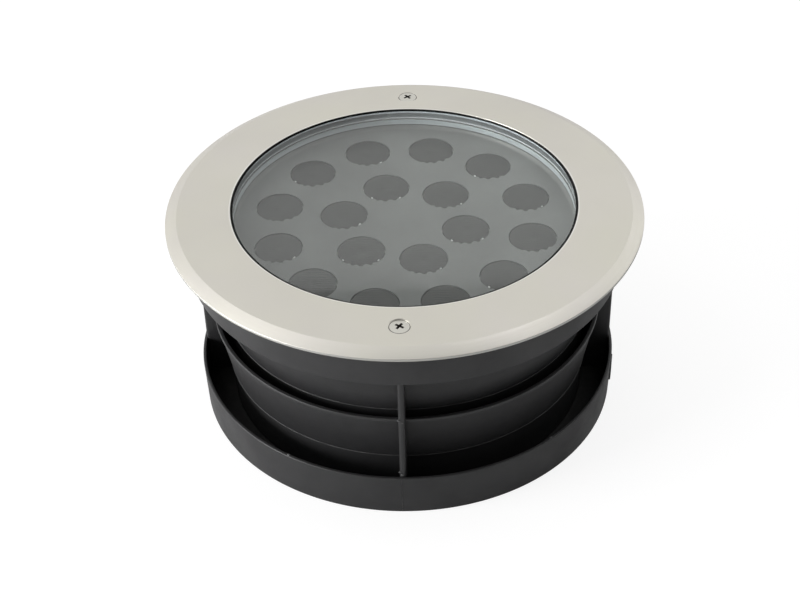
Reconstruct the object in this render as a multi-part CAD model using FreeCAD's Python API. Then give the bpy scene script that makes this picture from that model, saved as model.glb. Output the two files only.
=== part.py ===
import FreeCAD, Part
import os
from math import atan2, cos, degrees, hypot, radians, sin, tan

# In-ground well light: a moulded embedding sleeve and a round sealed lamp that drops into it.
# Millimetres. Z is up, the origin is at the centre of the sleeve's foot.
# The two face screws lie on the Y axis, the four sleeve ribs on the X and Y axes.

V = FreeCAD.Vector

# ---- lens field: two rings of round optics on one angular grid
OUTER_LENSES = 12
INNER_LENSES = 6
OUTER_RING = 64.5          # radius of the outer ring of lens centres
INNER_RING = 31.0          # radius of the inner ring of lens centres
LENS_TURN = 18.6           # degrees from +X to the first outer lens
HOLDER_R = 11.6            # outside of one lens holder
HOLDER_WALL = 0.8
HOLDER_H = 11.3
HOLDER_EYE = 4.5           # hole in the holder's foot, round the emitter
LENS_STEP = 2.0            # cylindrical rim at the top of a lens
LENS_RECESS = 0.5          # lens face below the holder's rim
LENS_FIT = 0.1
EMITTER = 3.5              # square emitter package
EMITTER_H = 1.8
EMITTER_AIR = 0.4          # emitter top to lens foot

# ---- grey tray that frames the optics
TRAY_HOLE_FIT = 0.25       # round each holder
TRAY_MARGIN = 9.25         # outer lens hole to the tray wall
TRAY_WALL = 1.2
TRAY_FLOOR = 1.5
TRAY_DEPTH = 7.0           # seat of the glass down to the tray floor
TRAY_CORNER = 2.0          # round between floor and wall
TRAY_PLAY = 0.2            # to the housing wall and under the seal
HOLDER_DROP = 0.2          # holder rim below the tray floor's face

# ---- stepped glass and its two seals
GLASS_T = 10.0
GLASS_BOSS = 3.5           # raised middle above the clamped rim
GLASS_DROP = 0.7           # glass face below the ring's face
GLASS_LAP = 4.0            # clamped rim under the ring
GLASS_ARRIS = 0.6
SEAL_T = 1.2
SEAL_WALL = 1.6            # seal round the rim's edge
SEAL_LIP = 0.9             # black lip between ring and raised glass
SEAL_LIP_DROP = 0.3        # lip below the glass face
SEAL_FIT = 0.05
RING_SHOW = 1.6            # tray wall to ring opening

# ---- pressed steel face ring
SHEET = 3.0
RING_EYE_ROUND = 0.8
FLAT_OVER = 4.7            # flat face beyond the sleeve collar
BEVEL_W = 4.9
BEVEL_H = 4.7

# ---- die-cast lamp housing
RIM_WALL = 2.6
RIM_GAP = 0.3              # rim to ring, so that the seals carry the clamping
POCKET_PLAY = 0.2
CHAMBER_WALL = 2.6
PLATFORM = 4.0             # web that carries the light board
NECK_DROP = 6.0            # cone from the rim to the chamber wall
BARREL_IN = 72.5           # driver chamber
BARREL_WALL = 3.5
BARREL_H = 33.4
FIN_COUNT = 24
FIN_T = 2.5
FIN_STEP = 1.4             # fin tip inside the chamber wall
FIN_TAPER = 5.0
FIN_LIFT = 5.0             # fin foot above the barrel's foot
LUG_COUNT = 6
LUG_R = 5.0
LUG_T = 4.0
LUG_OUT = 4.9              # lug centre outside the rim
LUG_RISE = 2.0             # lug's face above the glass seat
STUD_R = 4.0               # threaded boss welded under the ring

# ---- base of the housing
BASE_T = 4.0
BASE_SEAL_T = 1.5
BASE_SEAL_MARGIN = 0.3
SPIGOT_T = 3.0
SPIGOT_H = 4.0
SPIGOT_PLAY = 0.3
BASE_BOSS_R = 4.6
BASE_BOSS_H = 16.0
BASE_BOSS_BITE = 1.2       # boss into the barrel wall
BASE_SCREWS = 6
PAD_GAP = 0.3

# ---- light board
BOARD_T = 1.6
BOARD_PLAY = 0.8           # board edge to the tray wall
PAD_T = 0.5
PAD_INSET = 1.8
BOARD_SCREWS = 6
LEAD_EYE_R = 4.0           # hole in board and pad for the leads

# ---- driver bay, under the platform
DRIVER_L = 72.0
DRIVER_W = 46.0
DRIVER_H = 24.0
DRIVER_ROUND = 3.0
FOOT_L = 12.0
FOOT_OUT = 9.0
FOOT_T = 2.5
BLOCK_L = 14.0
BLOCK_W = 26.0
BLOCK_H = 15.0
BLOCK_GAP = 6.0
BLOCK_WAYS = 3
BLOCK_MARGIN = 1.1         # block's corners to the barrel wall
WIRE_R = 0.8
WIRE_PITCH = 4.8
WIRE_DROP = 12.5           # leads below the platform at the driver
WIRE_BEND = 0.45           # share of the shorter run taken by the bend
WIRE_STAND = 1.0           # lead end above the board
SUPPLY_WIRE_R = 1.0
SUPPLY_PITCH = 8.0
SUPPLY_DROP = 9.0
GROMMET_R = 5.4
GROMMET_FLANGE = 1.4
GROMMET_T = 1.5
EARTH_OUT = 12.0           # earth screw beyond the driver's side

# ---- cable gland, 20 mm thread, for an 8 mm cable
CABLE_R = 4.0
INSERT_WALL = 3.0
INSERT_PROUD = 2.0
GLAND_WALL = 2.85
GLAND_FIT = 0.15
GLAND_SHOULDER = 2.0       # half the hexagon's width beyond the thread
GLAND_HEX_H = 5.8
GLAND_WASHER_T = 1.2
GLAND_WASHER_W = 1.6
GLAND_NECK_H = 9.0
LOCKNUT_SHOULDER = 3.0
LOCKNUT_H = 5.0
THREAD_PROUD = 1.0
CAP_TOP = 3.0
CAP_SHOULDER = 2.5
CAP_LIP = 1.5              # flat of the dome round the insert's radius
CAP_DOME = 5.0

# ---- screws
M5_R = 2.5
M5_HEAD_R = 4.7
M5_SINK = 0.3
M5_LENGTH = 22.0
M4_R = 2.0
M4_HEAD_R = 3.5
M4_HEAD_H = 2.6
M3_R = 1.5
M3_HEAD_R = 2.75
M3_HEAD_H = 2.0
HOLE_PLAY = 0.25           # clearance hole round a shank
THREAD_PLAY = 0.05         # threaded hole round a shank
HEAD_BREAK = 0.4
CROSS_L = 5.2
CROSS_W = 1.0
CROSS_D = 1.8
STUD_GRIP = 5.0            # thread held in a welded boss
BOARD_GRIP = 3.0
BASE_GRIP = 10.0
EARTH_GRIP = 3.0

# ---- moulded sleeve
INSERT_R = 3.5             # brass insert for a face screw
INSERT_H = 10.0
BOSS_WALL = 1.3
BOSS_GAP = 0.4             # lamp rim to the screw boss
BOSS_BACK = 1.3            # screw boss to the collar wall
WEB_T = 3.0
TIP_ROOM = 1.0
COLLAR_WALL = 3.5
COLLAR_H = 23.1
COLLAR_BREAK = 0.5
SLEEVE_SEAL_T = 1.5
SLEEVE_SEAL_INSET = 0.8
SHELF_T = 2.5
SHELF_IN = 9.9             # collar face to the head of the upper hoop
HOOP_WALL = 2.0
UPPER_HOOP_H = 29.4
UPPER_HOOP_TAPER = 6.3
HOOP_STEP = 0.4            # upper hoop's foot above the middle hoop's lip
HOOP_GAP = 4.7             # upper hoop's foot to the inside of the lip
WELL_STEP = 1.2            # well wall inside the upper hoop's foot
WELL_WALL = 2.0
MID_HOOP_WALL = 1.8
MID_HOOP_H = 29.4
MID_HOOP_TAPER = 5.9
MID_LIFT = 1.7             # middle hoop's foot above the skirt rim
SKIRT_GAP = 12.7           # middle hoop's foot to the inside of the skirt
SKIRT_H = 22.9
SKIRT_WALL = 1.7
SKIRT_TAPER = 0.7
FLOOR_T = 2.5              # floor between the well wall and the skirt
RIB_COUNT = 4
RIB_T = 3.4
RIB_BITE = 0.4             # rib into the skirt wall
LIP_ROUND = 0.5

FULL = 360.0
EPS = 0.01

# ---- radii that follow, from the lens field outwards
HOLE_R = HOLDER_R + TRAY_HOLE_FIT
TRAY_IN = OUTER_RING + HOLE_R + TRAY_MARGIN
TRAY_OUT = TRAY_IN + TRAY_WALL
CHAMBER_R = TRAY_OUT + TRAY_PLAY
RING_EYE = TRAY_IN + RING_SHOW
GLASS_R = RING_EYE - SEAL_LIP
GLASS_RIM_R = RING_EYE + GLASS_LAP
POCKET_R = GLASS_RIM_R + SEAL_WALL + POCKET_PLAY
RIM_R = POCKET_R + RIM_WALL
BOSS_R = INSERT_R + BOSS_WALL
SCREW_RING = RIM_R + BOSS_GAP + BOSS_R
COLLAR_IN = SCREW_RING + BOSS_R + BOSS_BACK
COLLAR_R = COLLAR_IN + COLLAR_WALL
FLAT_R = COLLAR_R + FLAT_OVER
RING_R = FLAT_R + BEVEL_W
LUG_RING = RIM_R + LUG_OUT
CHAMBER_OUT = CHAMBER_R + CHAMBER_WALL
BARREL_R = BARREL_IN + BARREL_WALL
FIN_R = CHAMBER_OUT - FIN_STEP
BASE_RING = BARREL_R + BASE_BOSS_R - BASE_BOSS_BITE
BOARD_R = TRAY_IN - BOARD_PLAY
MID_RING = (OUTER_RING + INNER_RING) / 2
BAY_TURN = LENS_TURN - FULL / OUTER_LENSES / 2

UPPER_HEAD_R = COLLAR_R - SHELF_IN
UPPER_FOOT_R = UPPER_HEAD_R - UPPER_HOOP_TAPER
LIP_IN = UPPER_FOOT_R + HOOP_GAP
LIP_R = LIP_IN + MID_HOOP_WALL
MID_FOOT_R = LIP_R - MID_HOOP_TAPER
SKIRT_IN = MID_FOOT_R + SKIRT_GAP
SKIRT_R = SKIRT_IN + SKIRT_WALL
RIB_R = SKIRT_IN + RIB_BITE
WELL_R = UPPER_FOOT_R - WELL_STEP
WELL_IN = WELL_R - WELL_WALL
WELL_MID = WELL_R - WELL_WALL / 2

# ---- heights that follow, from the foot up
MID_FOOT_Z = SKIRT_H + MID_LIFT
LIP_Z = MID_FOOT_Z + MID_HOOP_H
UPPER_FOOT_Z = LIP_Z + HOOP_STEP
SHELF_Z = UPPER_FOOT_Z + UPPER_HOOP_H
COLLAR_Z = SHELF_Z + COLLAR_H
RING_UNDER = COLLAR_Z + SLEEVE_SEAL_T
RING_TOP = RING_UNDER + SHEET

# ---- heights that follow, from the ring down
GLASS_TOP = RING_TOP - GLASS_DROP
GLASS_SHOULDER = GLASS_TOP - GLASS_BOSS
GLASS_UNDER = GLASS_TOP - GLASS_T
SEAT_Z = GLASS_UNDER - SEAL_T
RIM_TOP = RING_UNDER - RIM_GAP
TRAY_Z = SEAT_Z - TRAY_DEPTH
HOLDER_TOP = TRAY_Z - HOLDER_DROP
BOARD_TOP = HOLDER_TOP - HOLDER_H
BOARD_UNDER = BOARD_TOP - BOARD_T
PLATFORM_Z = BOARD_UNDER - PAD_T
BAY_Z = PLATFORM_Z - PLATFORM
BARREL_FOOT = BAY_Z - BARREL_H
BASE_Z = BARREL_FOOT - BASE_SEAL_T
BASE_UNDER = BASE_Z - BASE_T
STUD_FOOT = SEAT_Z + LUG_RISE
LUG_UNDER = STUD_FOOT - LUG_T


def revolve(corners):
    """Solid of revolution about Z from (radius, height) corners."""
    points = [V(r, 0, z) for r, z in corners]
    wire = Part.makePolygon(points + points[:1])
    return Part.Face(wire).revolve(V(0, 0, 0), V(0, 0, 1), FULL)


def tube(outer, inner, low, high):
    """Ring of square section."""
    return revolve([(inner, low), (outer, low), (outer, high), (inner, high)])


def rod(radius, low, high, x=0.0, y=0.0):
    """Upright cylinder."""
    return Part.makeCylinder(radius, high - low, V(x, y, low))


def block(x0, x1, y0, y1, low, high):
    """Box between two corners."""
    return Part.makeBox(x1 - x0, y1 - y0, high - low, V(x0, y0, low))


def hexagon(flat, low, high):
    """Upright hexagonal prism, `flat` from its axis to a side."""
    corner = flat / cos(radians(FULL / 12))
    angles = [radians(FULL / 6 * k) for k in range(7)]
    wire = Part.makePolygon([V(corner * cos(a), corner * sin(a), low) for a in angles])
    return Part.Face(wire).extrude(V(0, 0, high - low))


def plate(corners, thickness):
    """Upright plate on the X axis from (radius, height) corners, centred on Y."""
    points = [V(r, -thickness / 2, z) for r, z in corners]
    wire = Part.makePolygon(points + points[:1])
    return Part.Face(wire).extrude(V(0, thickness, 0))


def turned(shape, angle):
    """Copy turned about Z by degrees."""
    copy = shape.copy()
    copy.rotate(V(0, 0, 0), V(0, 0, 1), angle)
    return copy


def ring_of(shape, count, start=0.0):
    """Evenly spaced copies about Z."""
    return [turned(shape, start + FULL / count * k) for k in range(count)]


def soften(shape, radius, circles):
    """Fillet the circular edges given as (radius, height)."""
    edges = [e for e in shape.Edges if on_circle(e, circles)]
    return shape.makeFillet(radius, edges)


def on_circle(edge, circles):
    """True for a circular edge about Z that lies on one of the circles."""
    curve = edge.Curve
    if not isinstance(curve, Part.Circle):
        return False
    if hypot(curve.Center.x, curve.Center.y) > EPS:
        return False
    return any(abs(curve.Radius - r) < EPS and abs(curve.Center.z - z) < EPS for r, z in circles)


def fuse(first, others):
    """One solid from overlapping pieces."""
    return first.multiFuse(others).removeSplitter()


def lens_places():
    """Centres of all the optics: outer ring first, then inner ring."""
    pitch = FULL / OUTER_LENSES
    outer = [(OUTER_RING, LENS_TURN + pitch * k) for k in range(OUTER_LENSES)]
    first = LENS_TURN + pitch
    inner = [(INNER_RING, first + FULL / INNER_LENSES * k) for k in range(INNER_LENSES)]
    return [(r * cos(radians(a)), r * sin(radians(a))) for r, a in outer + inner]


def at_lenses(shape):
    """One copy of the shape at each optic."""
    copies = []
    for x, y in lens_places():
        copy = shape.copy()
        copy.translate(V(x, y, 0))
        copies.append(copy)
    return copies


def mid_ring_holes(radius, low, high, count, start):
    """Upright cylinders on the ring between the two rings of optics."""
    return ring_of(rod(radius, low, high, MID_RING), count, start)


def pan_screw(shank, head, head_h, under, tip):
    """Pan-head screw on the Z axis, head below `under` or above it, shank to `tip`."""
    up = 1.0 if tip > under else -1.0
    far = under - up * head_h
    near = under - up * (head_h - HEAD_BREAK)
    corners = [(0, far), (head - HEAD_BREAK, far), (head, near), (head, under)]
    corners += [(shank, under), (shank, tip), (0, tip)]
    return revolve(corners)


# ---------------------------------------------------------------- sleeve

def screw_boss():
    """Blind boss on +Y for a brass insert, tied to the collar by a web."""
    boss = rod(BOSS_R, SHELF_Z, COLLAR_Z, 0.0, SCREW_RING)
    web = block(-WEB_T / 2, WEB_T / 2, SCREW_RING, COLLAR_IN + COLLAR_WALL / 2, SHELF_Z, COLLAR_Z)
    return boss.fuse(web)


def screw_bore():
    """Insert pocket and the room under it for the screw's tip."""
    tip = RING_TOP - M5_SINK - M5_LENGTH - TIP_ROOM
    pocket = rod(INSERT_R, COLLAR_Z - INSERT_H, COLLAR_Z, 0.0, SCREW_RING)
    return pocket.fuse(rod(M5_R + HOLE_PLAY, tip, COLLAR_Z, 0.0, SCREW_RING))


def mounting_sleeve():
    """Moulded sleeve: collar, upper hoop, well wall, middle hoop, floored skirt and four ribs."""
    wall = revolve([
        (COLLAR_R, SHELF_Z), (COLLAR_R, COLLAR_Z), (COLLAR_IN, COLLAR_Z),
        (COLLAR_IN, SHELF_Z + SHELF_T), (UPPER_HEAD_R - HOOP_WALL, SHELF_Z + SHELF_T),
        (UPPER_HEAD_R - HOOP_WALL, SHELF_Z), (WELL_IN, UPPER_FOOT_Z), (WELL_IN, 0),
        (SKIRT_R - SKIRT_TAPER, 0), (SKIRT_R, SKIRT_H), (SKIRT_IN, SKIRT_H),
        (SKIRT_IN - SKIRT_TAPER, FLOOR_T), (WELL_R, FLOOR_T), (WELL_R, UPPER_FOOT_Z),
        (UPPER_FOOT_R, UPPER_FOOT_Z), (UPPER_HEAD_R, SHELF_Z)])
    wall = soften(wall, COLLAR_BREAK, [(COLLAR_R, SHELF_Z), (COLLAR_R, COLLAR_Z), (SKIRT_R, SKIRT_H)])
    middle = revolve([
        (MID_FOOT_R, MID_FOOT_Z), (LIP_R, LIP_Z), (LIP_IN, LIP_Z),
        (WELL_MID, MID_FOOT_Z + MID_HOOP_WALL), (WELL_MID, MID_FOOT_Z)])
    middle = soften(middle, LIP_ROUND, [(LIP_R, LIP_Z)])
    rib = plate([
        (WELL_MID, 0), (RIB_R - SKIRT_TAPER, 0), (RIB_R, SKIRT_H), (RIB_R, SHELF_Z + SHELF_T / 2),
        (UPPER_HEAD_R - HOOP_WALL / 2, SHELF_Z + SHELF_T / 2), (WELL_MID, UPPER_FOOT_Z)], RIB_T)
    body = fuse(wall, [middle] + ring_of(rib, RIB_COUNT) + ring_of(screw_boss(), 2))
    return body.cut(ring_of(screw_bore(), 2))


def sleeve_inserts():
    """Brass threaded inserts pressed into the two screw bosses."""
    low = COLLAR_Z - INSERT_H
    insert = rod(INSERT_R, low, COLLAR_Z, 0.0, SCREW_RING)
    insert = insert.cut(rod(M5_R + THREAD_PLAY, low, COLLAR_Z, 0.0, SCREW_RING))
    return ring_of(insert, 2)


def sleeve_seal():
    """Flat foam seal on the collar, under the face ring."""
    return tube(COLLAR_R - SLEEVE_SEAL_INSET, COLLAR_IN + SLEEVE_SEAL_INSET, COLLAR_Z, RING_UNDER)


# ---------------------------------------------------------------- face

def face_screw():
    """Countersunk cross-recessed screw on +Y."""
    top = RING_TOP - M5_SINK
    neck = top - (M5_HEAD_R - M5_R)
    body = revolve([(0, top), (M5_HEAD_R, top), (M5_R, neck), (M5_R, top - M5_LENGTH), (0, top - M5_LENGTH)])
    half = CROSS_L / 2
    width = CROSS_W / 2
    low = top - CROSS_D
    slot = block(-half, half, -width, width, low, top)
    cross = block(-width, width, -half, half, low, top)
    body = body.cut([slot, cross])
    body.translate(V(0, SCREW_RING, 0))
    return body


def face_ring():
    """Pressed steel ring with a bevelled rim, round eye edge and two countersunk holes."""
    slope = atan2(BEVEL_H, BEVEL_W)
    inner_bend = FLAT_R - SHEET * tan(slope / 2)
    inner_foot = RING_R - SHEET / sin(slope)
    ring = revolve([
        (RING_EYE, RING_UNDER), (RING_EYE, RING_TOP), (FLAT_R, RING_TOP),
        (RING_R, RING_TOP - BEVEL_H), (inner_foot, RING_TOP - BEVEL_H), (inner_bend, RING_UNDER)])
    ring = soften(ring, RING_EYE_ROUND, [(RING_EYE, RING_TOP)])
    wide = M5_HEAD_R + M5_SINK
    hole_r = M5_R + HOLE_PLAY
    sink = revolve([
        (0, RING_TOP), (wide, RING_TOP), (hole_r, RING_TOP - (wide - hole_r)),
        (hole_r, RING_UNDER), (0, RING_UNDER)])
    sink.translate(V(0, SCREW_RING, 0))
    return ring.cut(ring_of(sink, 2))


def ring_studs():
    """Threaded bosses welded under the ring."""
    tip = STUD_FOOT + STUD_GRIP + TIP_ROOM
    stud = rod(STUD_R, STUD_FOOT, RING_UNDER, LUG_RING)
    stud = stud.cut(rod(M4_R + THREAD_PLAY, STUD_FOOT, tip, LUG_RING))
    return ring_of(stud, LUG_COUNT)


def ring_screws():
    """Screws from below that draw the ring down on the glass."""
    screw = pan_screw(M4_R, M4_HEAD_R, M4_HEAD_H, LUG_UNDER, STUD_FOOT + STUD_GRIP)
    screw.translate(V(LUG_RING, 0, 0))
    return ring_of(screw, LUG_COUNT)


def glass_lens():
    """Stepped tempered glass: raised middle, clamped rim."""
    return revolve([
        (0, GLASS_UNDER), (GLASS_RIM_R - GLASS_ARRIS, GLASS_UNDER),
        (GLASS_RIM_R, GLASS_UNDER + GLASS_ARRIS), (GLASS_RIM_R, GLASS_SHOULDER),
        (GLASS_R, GLASS_SHOULDER), (GLASS_R, GLASS_TOP - GLASS_ARRIS),
        (GLASS_R - GLASS_ARRIS, GLASS_TOP), (0, GLASS_TOP)])


def glass_gasket():
    """Black seal: lip in the ring's eye, flange on the glass shoulder, skirt round its edge."""
    edge = GLASS_RIM_R + SEAL_WALL
    return revolve([
        (GLASS_R + SEAL_FIT, GLASS_SHOULDER), (GLASS_RIM_R + SEAL_FIT, GLASS_SHOULDER),
        (GLASS_RIM_R + SEAL_FIT, SEAT_Z), (edge, SEAT_Z), (edge, RING_UNDER),
        (RING_EYE - SEAL_FIT, RING_UNDER), (RING_EYE - SEAL_FIT, GLASS_TOP - SEAL_LIP_DROP),
        (GLASS_R + SEAL_FIT, GLASS_TOP - SEAL_LIP_DROP)])


def glass_seat_seal():
    """Flat grey seal between the glass and the housing's seat."""
    return tube(GLASS_RIM_R, TRAY_IN + TRAY_WALL / 2, SEAT_Z, GLASS_UNDER)


# ---------------------------------------------------------------- housing

def housing_lug():
    """Lug on +X that a ring screw passes through."""
    lug = rod(LUG_R, LUG_UNDER, STUD_FOOT, LUG_RING)
    neck = block(POCKET_R + RIM_WALL / 2, LUG_RING, -LUG_R, LUG_R, LUG_UNDER, STUD_FOOT)
    return lug.fuse(neck)


def housing_fin():
    """Cooling fin on +X, tapered with the mould draft."""
    foot = BARREL_FOOT + FIN_LIFT
    inner = BARREL_R - BARREL_WALL / 2
    head = BAY_Z + PLATFORM / 2
    return plate([(inner, foot), (FIN_R - FIN_TAPER, foot), (FIN_R, BAY_Z), (FIN_R, head), (inner, head)], FIN_T)


def base_angles():
    """Base screws stand midway between fins."""
    return FULL / FIN_COUNT / 2


def lamp_housing():
    """Die-cast housing: glass pocket, light chamber, platform, driver barrel and fins."""
    shell = revolve([
        (POCKET_R, RIM_TOP), (RIM_R, RIM_TOP), (RIM_R, LUG_UNDER), (CHAMBER_OUT, LUG_UNDER - NECK_DROP),
        (CHAMBER_OUT, BAY_Z), (BARREL_R, BAY_Z), (BARREL_R, BARREL_FOOT), (BARREL_IN, BARREL_FOOT),
        (BARREL_IN, BAY_Z), (0, BAY_Z), (0, PLATFORM_Z), (CHAMBER_R, PLATFORM_Z),
        (CHAMBER_R, SEAT_Z), (POCKET_R, SEAT_Z)])
    boss = rod(BASE_BOSS_R, BARREL_FOOT, BARREL_FOOT + BASE_BOSS_H, BASE_RING)
    added = ring_of(housing_fin(), FIN_COUNT) + ring_of(housing_lug(), LUG_COUNT)
    added += ring_of(boss, BASE_SCREWS, base_angles())
    body = fuse(shell, added)
    holes = ring_of(rod(M4_R + HOLE_PLAY, LUG_UNDER, STUD_FOOT, LUG_RING), LUG_COUNT)
    base_hole = rod(M4_R + THREAD_PLAY, BARREL_FOOT, BASE_UNDER + BASE_T + BASE_GRIP + TIP_ROOM, BASE_RING)
    holes += ring_of(base_hole, BASE_SCREWS, base_angles())
    low = PLATFORM_Z - BOARD_GRIP - PAD_T
    holes += mid_ring_holes(M3_R + THREAD_PLAY, low, PLATFORM_Z, BOARD_SCREWS, board_screw_angle())
    holes += [turned(hole, BAY_TURN) for hole in bay_holes()]
    return body.cut(holes)


def bay_holes():
    """Lead-through and the threaded holes of the driver bay."""
    top = BAY_Z + EARTH_GRIP + THREAD_PLAY
    holes = [rod(GROMMET_R, BAY_Z, PLATFORM_Z, MID_RING)]
    holes += [rod(M3_R + THREAD_PLAY, BAY_Z, top, x, y) for x, y in driver_screw_places()]
    holes.append(rod(M3_R + THREAD_PLAY, BAY_Z, top, block_centre(), 0.0))
    holes.append(rod(M4_R + THREAD_PLAY, BAY_Z, top, driver_centre(), earth_place()))
    return holes


# ---------------------------------------------------------------- light engine

def tray_holes(low, high):
    """Openings of the tray, one round each optic."""
    return at_lenses(rod(HOLE_R, low, high))


def optic_tray():
    """Grey tray: wall that stands on the platform and a floor with a hole for each optic."""
    tray = revolve([
        (TRAY_IN, TRAY_Z), (TRAY_IN, SEAT_Z - TRAY_PLAY), (TRAY_OUT, SEAT_Z - TRAY_PLAY),
        (TRAY_OUT, PLATFORM_Z), (TRAY_IN, PLATFORM_Z), (TRAY_IN, TRAY_Z - TRAY_FLOOR),
        (0, TRAY_Z - TRAY_FLOOR), (0, TRAY_Z)])
    tray = soften(tray, TRAY_CORNER, [(TRAY_IN, TRAY_Z)])
    return tray.cut(tray_holes(TRAY_Z - TRAY_FLOOR, TRAY_Z))


def cone_foot():
    """Height at which a holder's conical seat ends above the emitter."""
    return BOARD_TOP + EMITTER_H + EMITTER_AIR


def lens_holders():
    """Black cups that hold the optics."""
    inner = HOLDER_R - HOLDER_WALL
    cup = revolve([
        (HOLDER_EYE, BOARD_TOP), (HOLDER_R, BOARD_TOP), (HOLDER_R, HOLDER_TOP), (inner, HOLDER_TOP),
        (inner, HOLDER_TOP - LENS_RECESS - LENS_STEP), (HOLDER_EYE, cone_foot())])
    return at_lenses(cup)


def lenses():
    """Clear moulded optics with a cylindrical rim and a conical body."""
    top = HOLDER_TOP - LENS_RECESS
    rim = HOLDER_R - HOLDER_WALL - LENS_FIT
    lens = revolve([
        (0, top), (rim, top), (rim, top - LENS_STEP + LENS_FIT), (HOLDER_EYE - LENS_FIT, cone_foot() + LENS_FIT),
        (0, cone_foot() + LENS_FIT)])
    return at_lenses(lens)


def led_emitters():
    """Square emitter packages on the board, one under each optic."""
    half = EMITTER / 2
    return at_lenses(block(-half, half, -half, half, BOARD_TOP, BOARD_TOP + EMITTER_H))


def board_screw_angle():
    """Board screws stand clear of both rings of optics."""
    return LENS_TURN + FULL / OUTER_LENSES / 2


def board_disc(radius, low, high):
    """Disc with the board screws' holes and the lead eye."""
    disc = rod(radius, low, high)
    holes = mid_ring_holes(M3_R + HOLE_PLAY, low, high, BOARD_SCREWS, board_screw_angle())
    return disc.cut(holes + [turned(rod(LEAD_EYE_R, low, high, MID_RING), BAY_TURN)])


def board_screws():
    """Screws that hold the board on the platform."""
    screw = pan_screw(M3_R, M3_HEAD_R, M3_HEAD_H, BOARD_TOP, PLATFORM_Z - BOARD_GRIP)
    screw.translate(V(MID_RING, 0, 0))
    return ring_of(screw, BOARD_SCREWS, board_screw_angle())


# ---------------------------------------------------------------- driver bay

def block_reach():
    """Far end of the terminal block, with its corners just clear of the barrel wall."""
    return (BARREL_IN ** 2 - (BLOCK_W / 2) ** 2) ** 0.5 - BLOCK_MARGIN


def driver_end():
    """Driver end that faces the rising leads."""
    return DRIVER_L + BLOCK_GAP + BLOCK_L - block_reach()


def driver_centre():
    """Middle of the driver along the bay."""
    return driver_end() - DRIVER_L / 2


def block_centre():
    """Middle of the terminal block along the bay."""
    return driver_end() - DRIVER_L - BLOCK_GAP - BLOCK_L / 2


def earth_place():
    """Earth screw beside the driver."""
    return -(DRIVER_W / 2 + FOOT_OUT + EARTH_OUT)


def driver_screw_places():
    """One screw through each foot of the driver."""
    out = DRIVER_W / 2 + FOOT_OUT / 2
    return [(driver_centre(), out), (driver_centre(), -out)]


def driver_case():
    """Potted driver with rounded corners and a foot on each side."""
    end = driver_end()
    half = DRIVER_W / 2
    case = block(end - DRIVER_L, end, -half, half, BAY_Z - DRIVER_H, BAY_Z)
    case = case.makeFillet(DRIVER_ROUND, [e for e in case.Edges if e.BoundBox.ZLength > DRIVER_H - EPS])
    mid = driver_centre()
    reach = half + FOOT_OUT
    feet = block(mid - FOOT_L / 2, mid + FOOT_L / 2, -reach, reach, BAY_Z - FOOT_T, BAY_Z)
    holes = [rod(M3_R + HOLE_PLAY, BAY_Z - FOOT_T, BAY_Z, x, y) for x, y in driver_screw_places()]
    return turned(fuse(case, [feet]).cut(holes), BAY_TURN)


def driver_screws():
    """Two screws up through the driver's feet."""
    screws = []
    for x, y in driver_screw_places():
        screw = pan_screw(M3_R, M3_HEAD_R, M3_HEAD_H, BAY_Z - FOOT_T, BAY_Z + EARTH_GRIP)
        screw.translate(V(x, y, 0))
        screws.append(turned(screw, BAY_TURN))
    return screws


def terminal_block():
    """Terminal block for the supply, with its screw hole."""
    mid = block_centre()
    body = block(mid - BLOCK_L / 2, mid + BLOCK_L / 2, -BLOCK_W / 2, BLOCK_W / 2, BAY_Z - BLOCK_H, BAY_Z)
    hole = rod(M3_R + HOLE_PLAY, BAY_Z - BLOCK_H, BAY_Z, mid, 0.0)
    return turned(body.cut(hole), BAY_TURN)


def terminal_screw():
    """Screw up through the terminal block."""
    screw = pan_screw(M3_R, M3_HEAD_R, M3_HEAD_H, BAY_Z - BLOCK_H, BAY_Z + EARTH_GRIP)
    screw.translate(V(block_centre(), 0, 0))
    return turned(screw, BAY_TURN)


def earth_screw():
    """Brass earth screw under the platform."""
    screw = pan_screw(M4_R, M4_HEAD_R, M4_HEAD_H, BAY_Z, BAY_Z + EARTH_GRIP)
    screw.translate(V(driver_centre(), earth_place(), 0))
    return turned(screw, BAY_TURN)


def bent_wire(radius, start, corner, finish):
    """Round wire along two runs that meet in an arc."""
    back = (start - corner).normalize()
    ahead = (finish - corner).normalize()
    run = min((start - corner).Length, (finish - corner).Length)
    trim = run * WIRE_BEND
    first = corner + back * trim
    last = corner + ahead * trim
    centre = corner + (back + ahead) * trim
    middle = centre - (back + ahead).normalize() * trim
    path = Part.Wire([
        Part.LineSegment(start, first).toShape(), Part.Arc(first, middle, last).toShape(),
        Part.LineSegment(last, finish).toShape()])
    section = Part.Wire(Part.Circle(start, back, radius).toShape())
    return path.makePipeShell([section], True, False)


def led_leads():
    """Two leads from the driver, up through the platform to the board."""
    leads = []
    for side in (-1, 1):
        y = side * WIRE_PITCH / 2
        low = BAY_Z - WIRE_DROP
        lead = bent_wire(WIRE_R, V(driver_end(), y, low), V(MID_RING, y, low),
                         V(MID_RING, y, BOARD_TOP + WIRE_STAND))
        leads.append(turned(lead, BAY_TURN))
    return leads


def lead_grommet():
    """Rubber grommet in the platform with a bore for each lead."""
    body = rod(GROMMET_R, BAY_Z, PLATFORM_Z, MID_RING)
    flange = rod(GROMMET_R + GROMMET_FLANGE, BAY_Z - GROMMET_T, BAY_Z, MID_RING)
    low = BAY_Z - GROMMET_T
    bores = [rod(WIRE_R + SEAL_FIT, low, PLATFORM_Z, MID_RING, s * WIRE_PITCH / 2) for s in (-1, 1)]
    return turned(fuse(body, [flange]).cut(bores), BAY_TURN)


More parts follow.
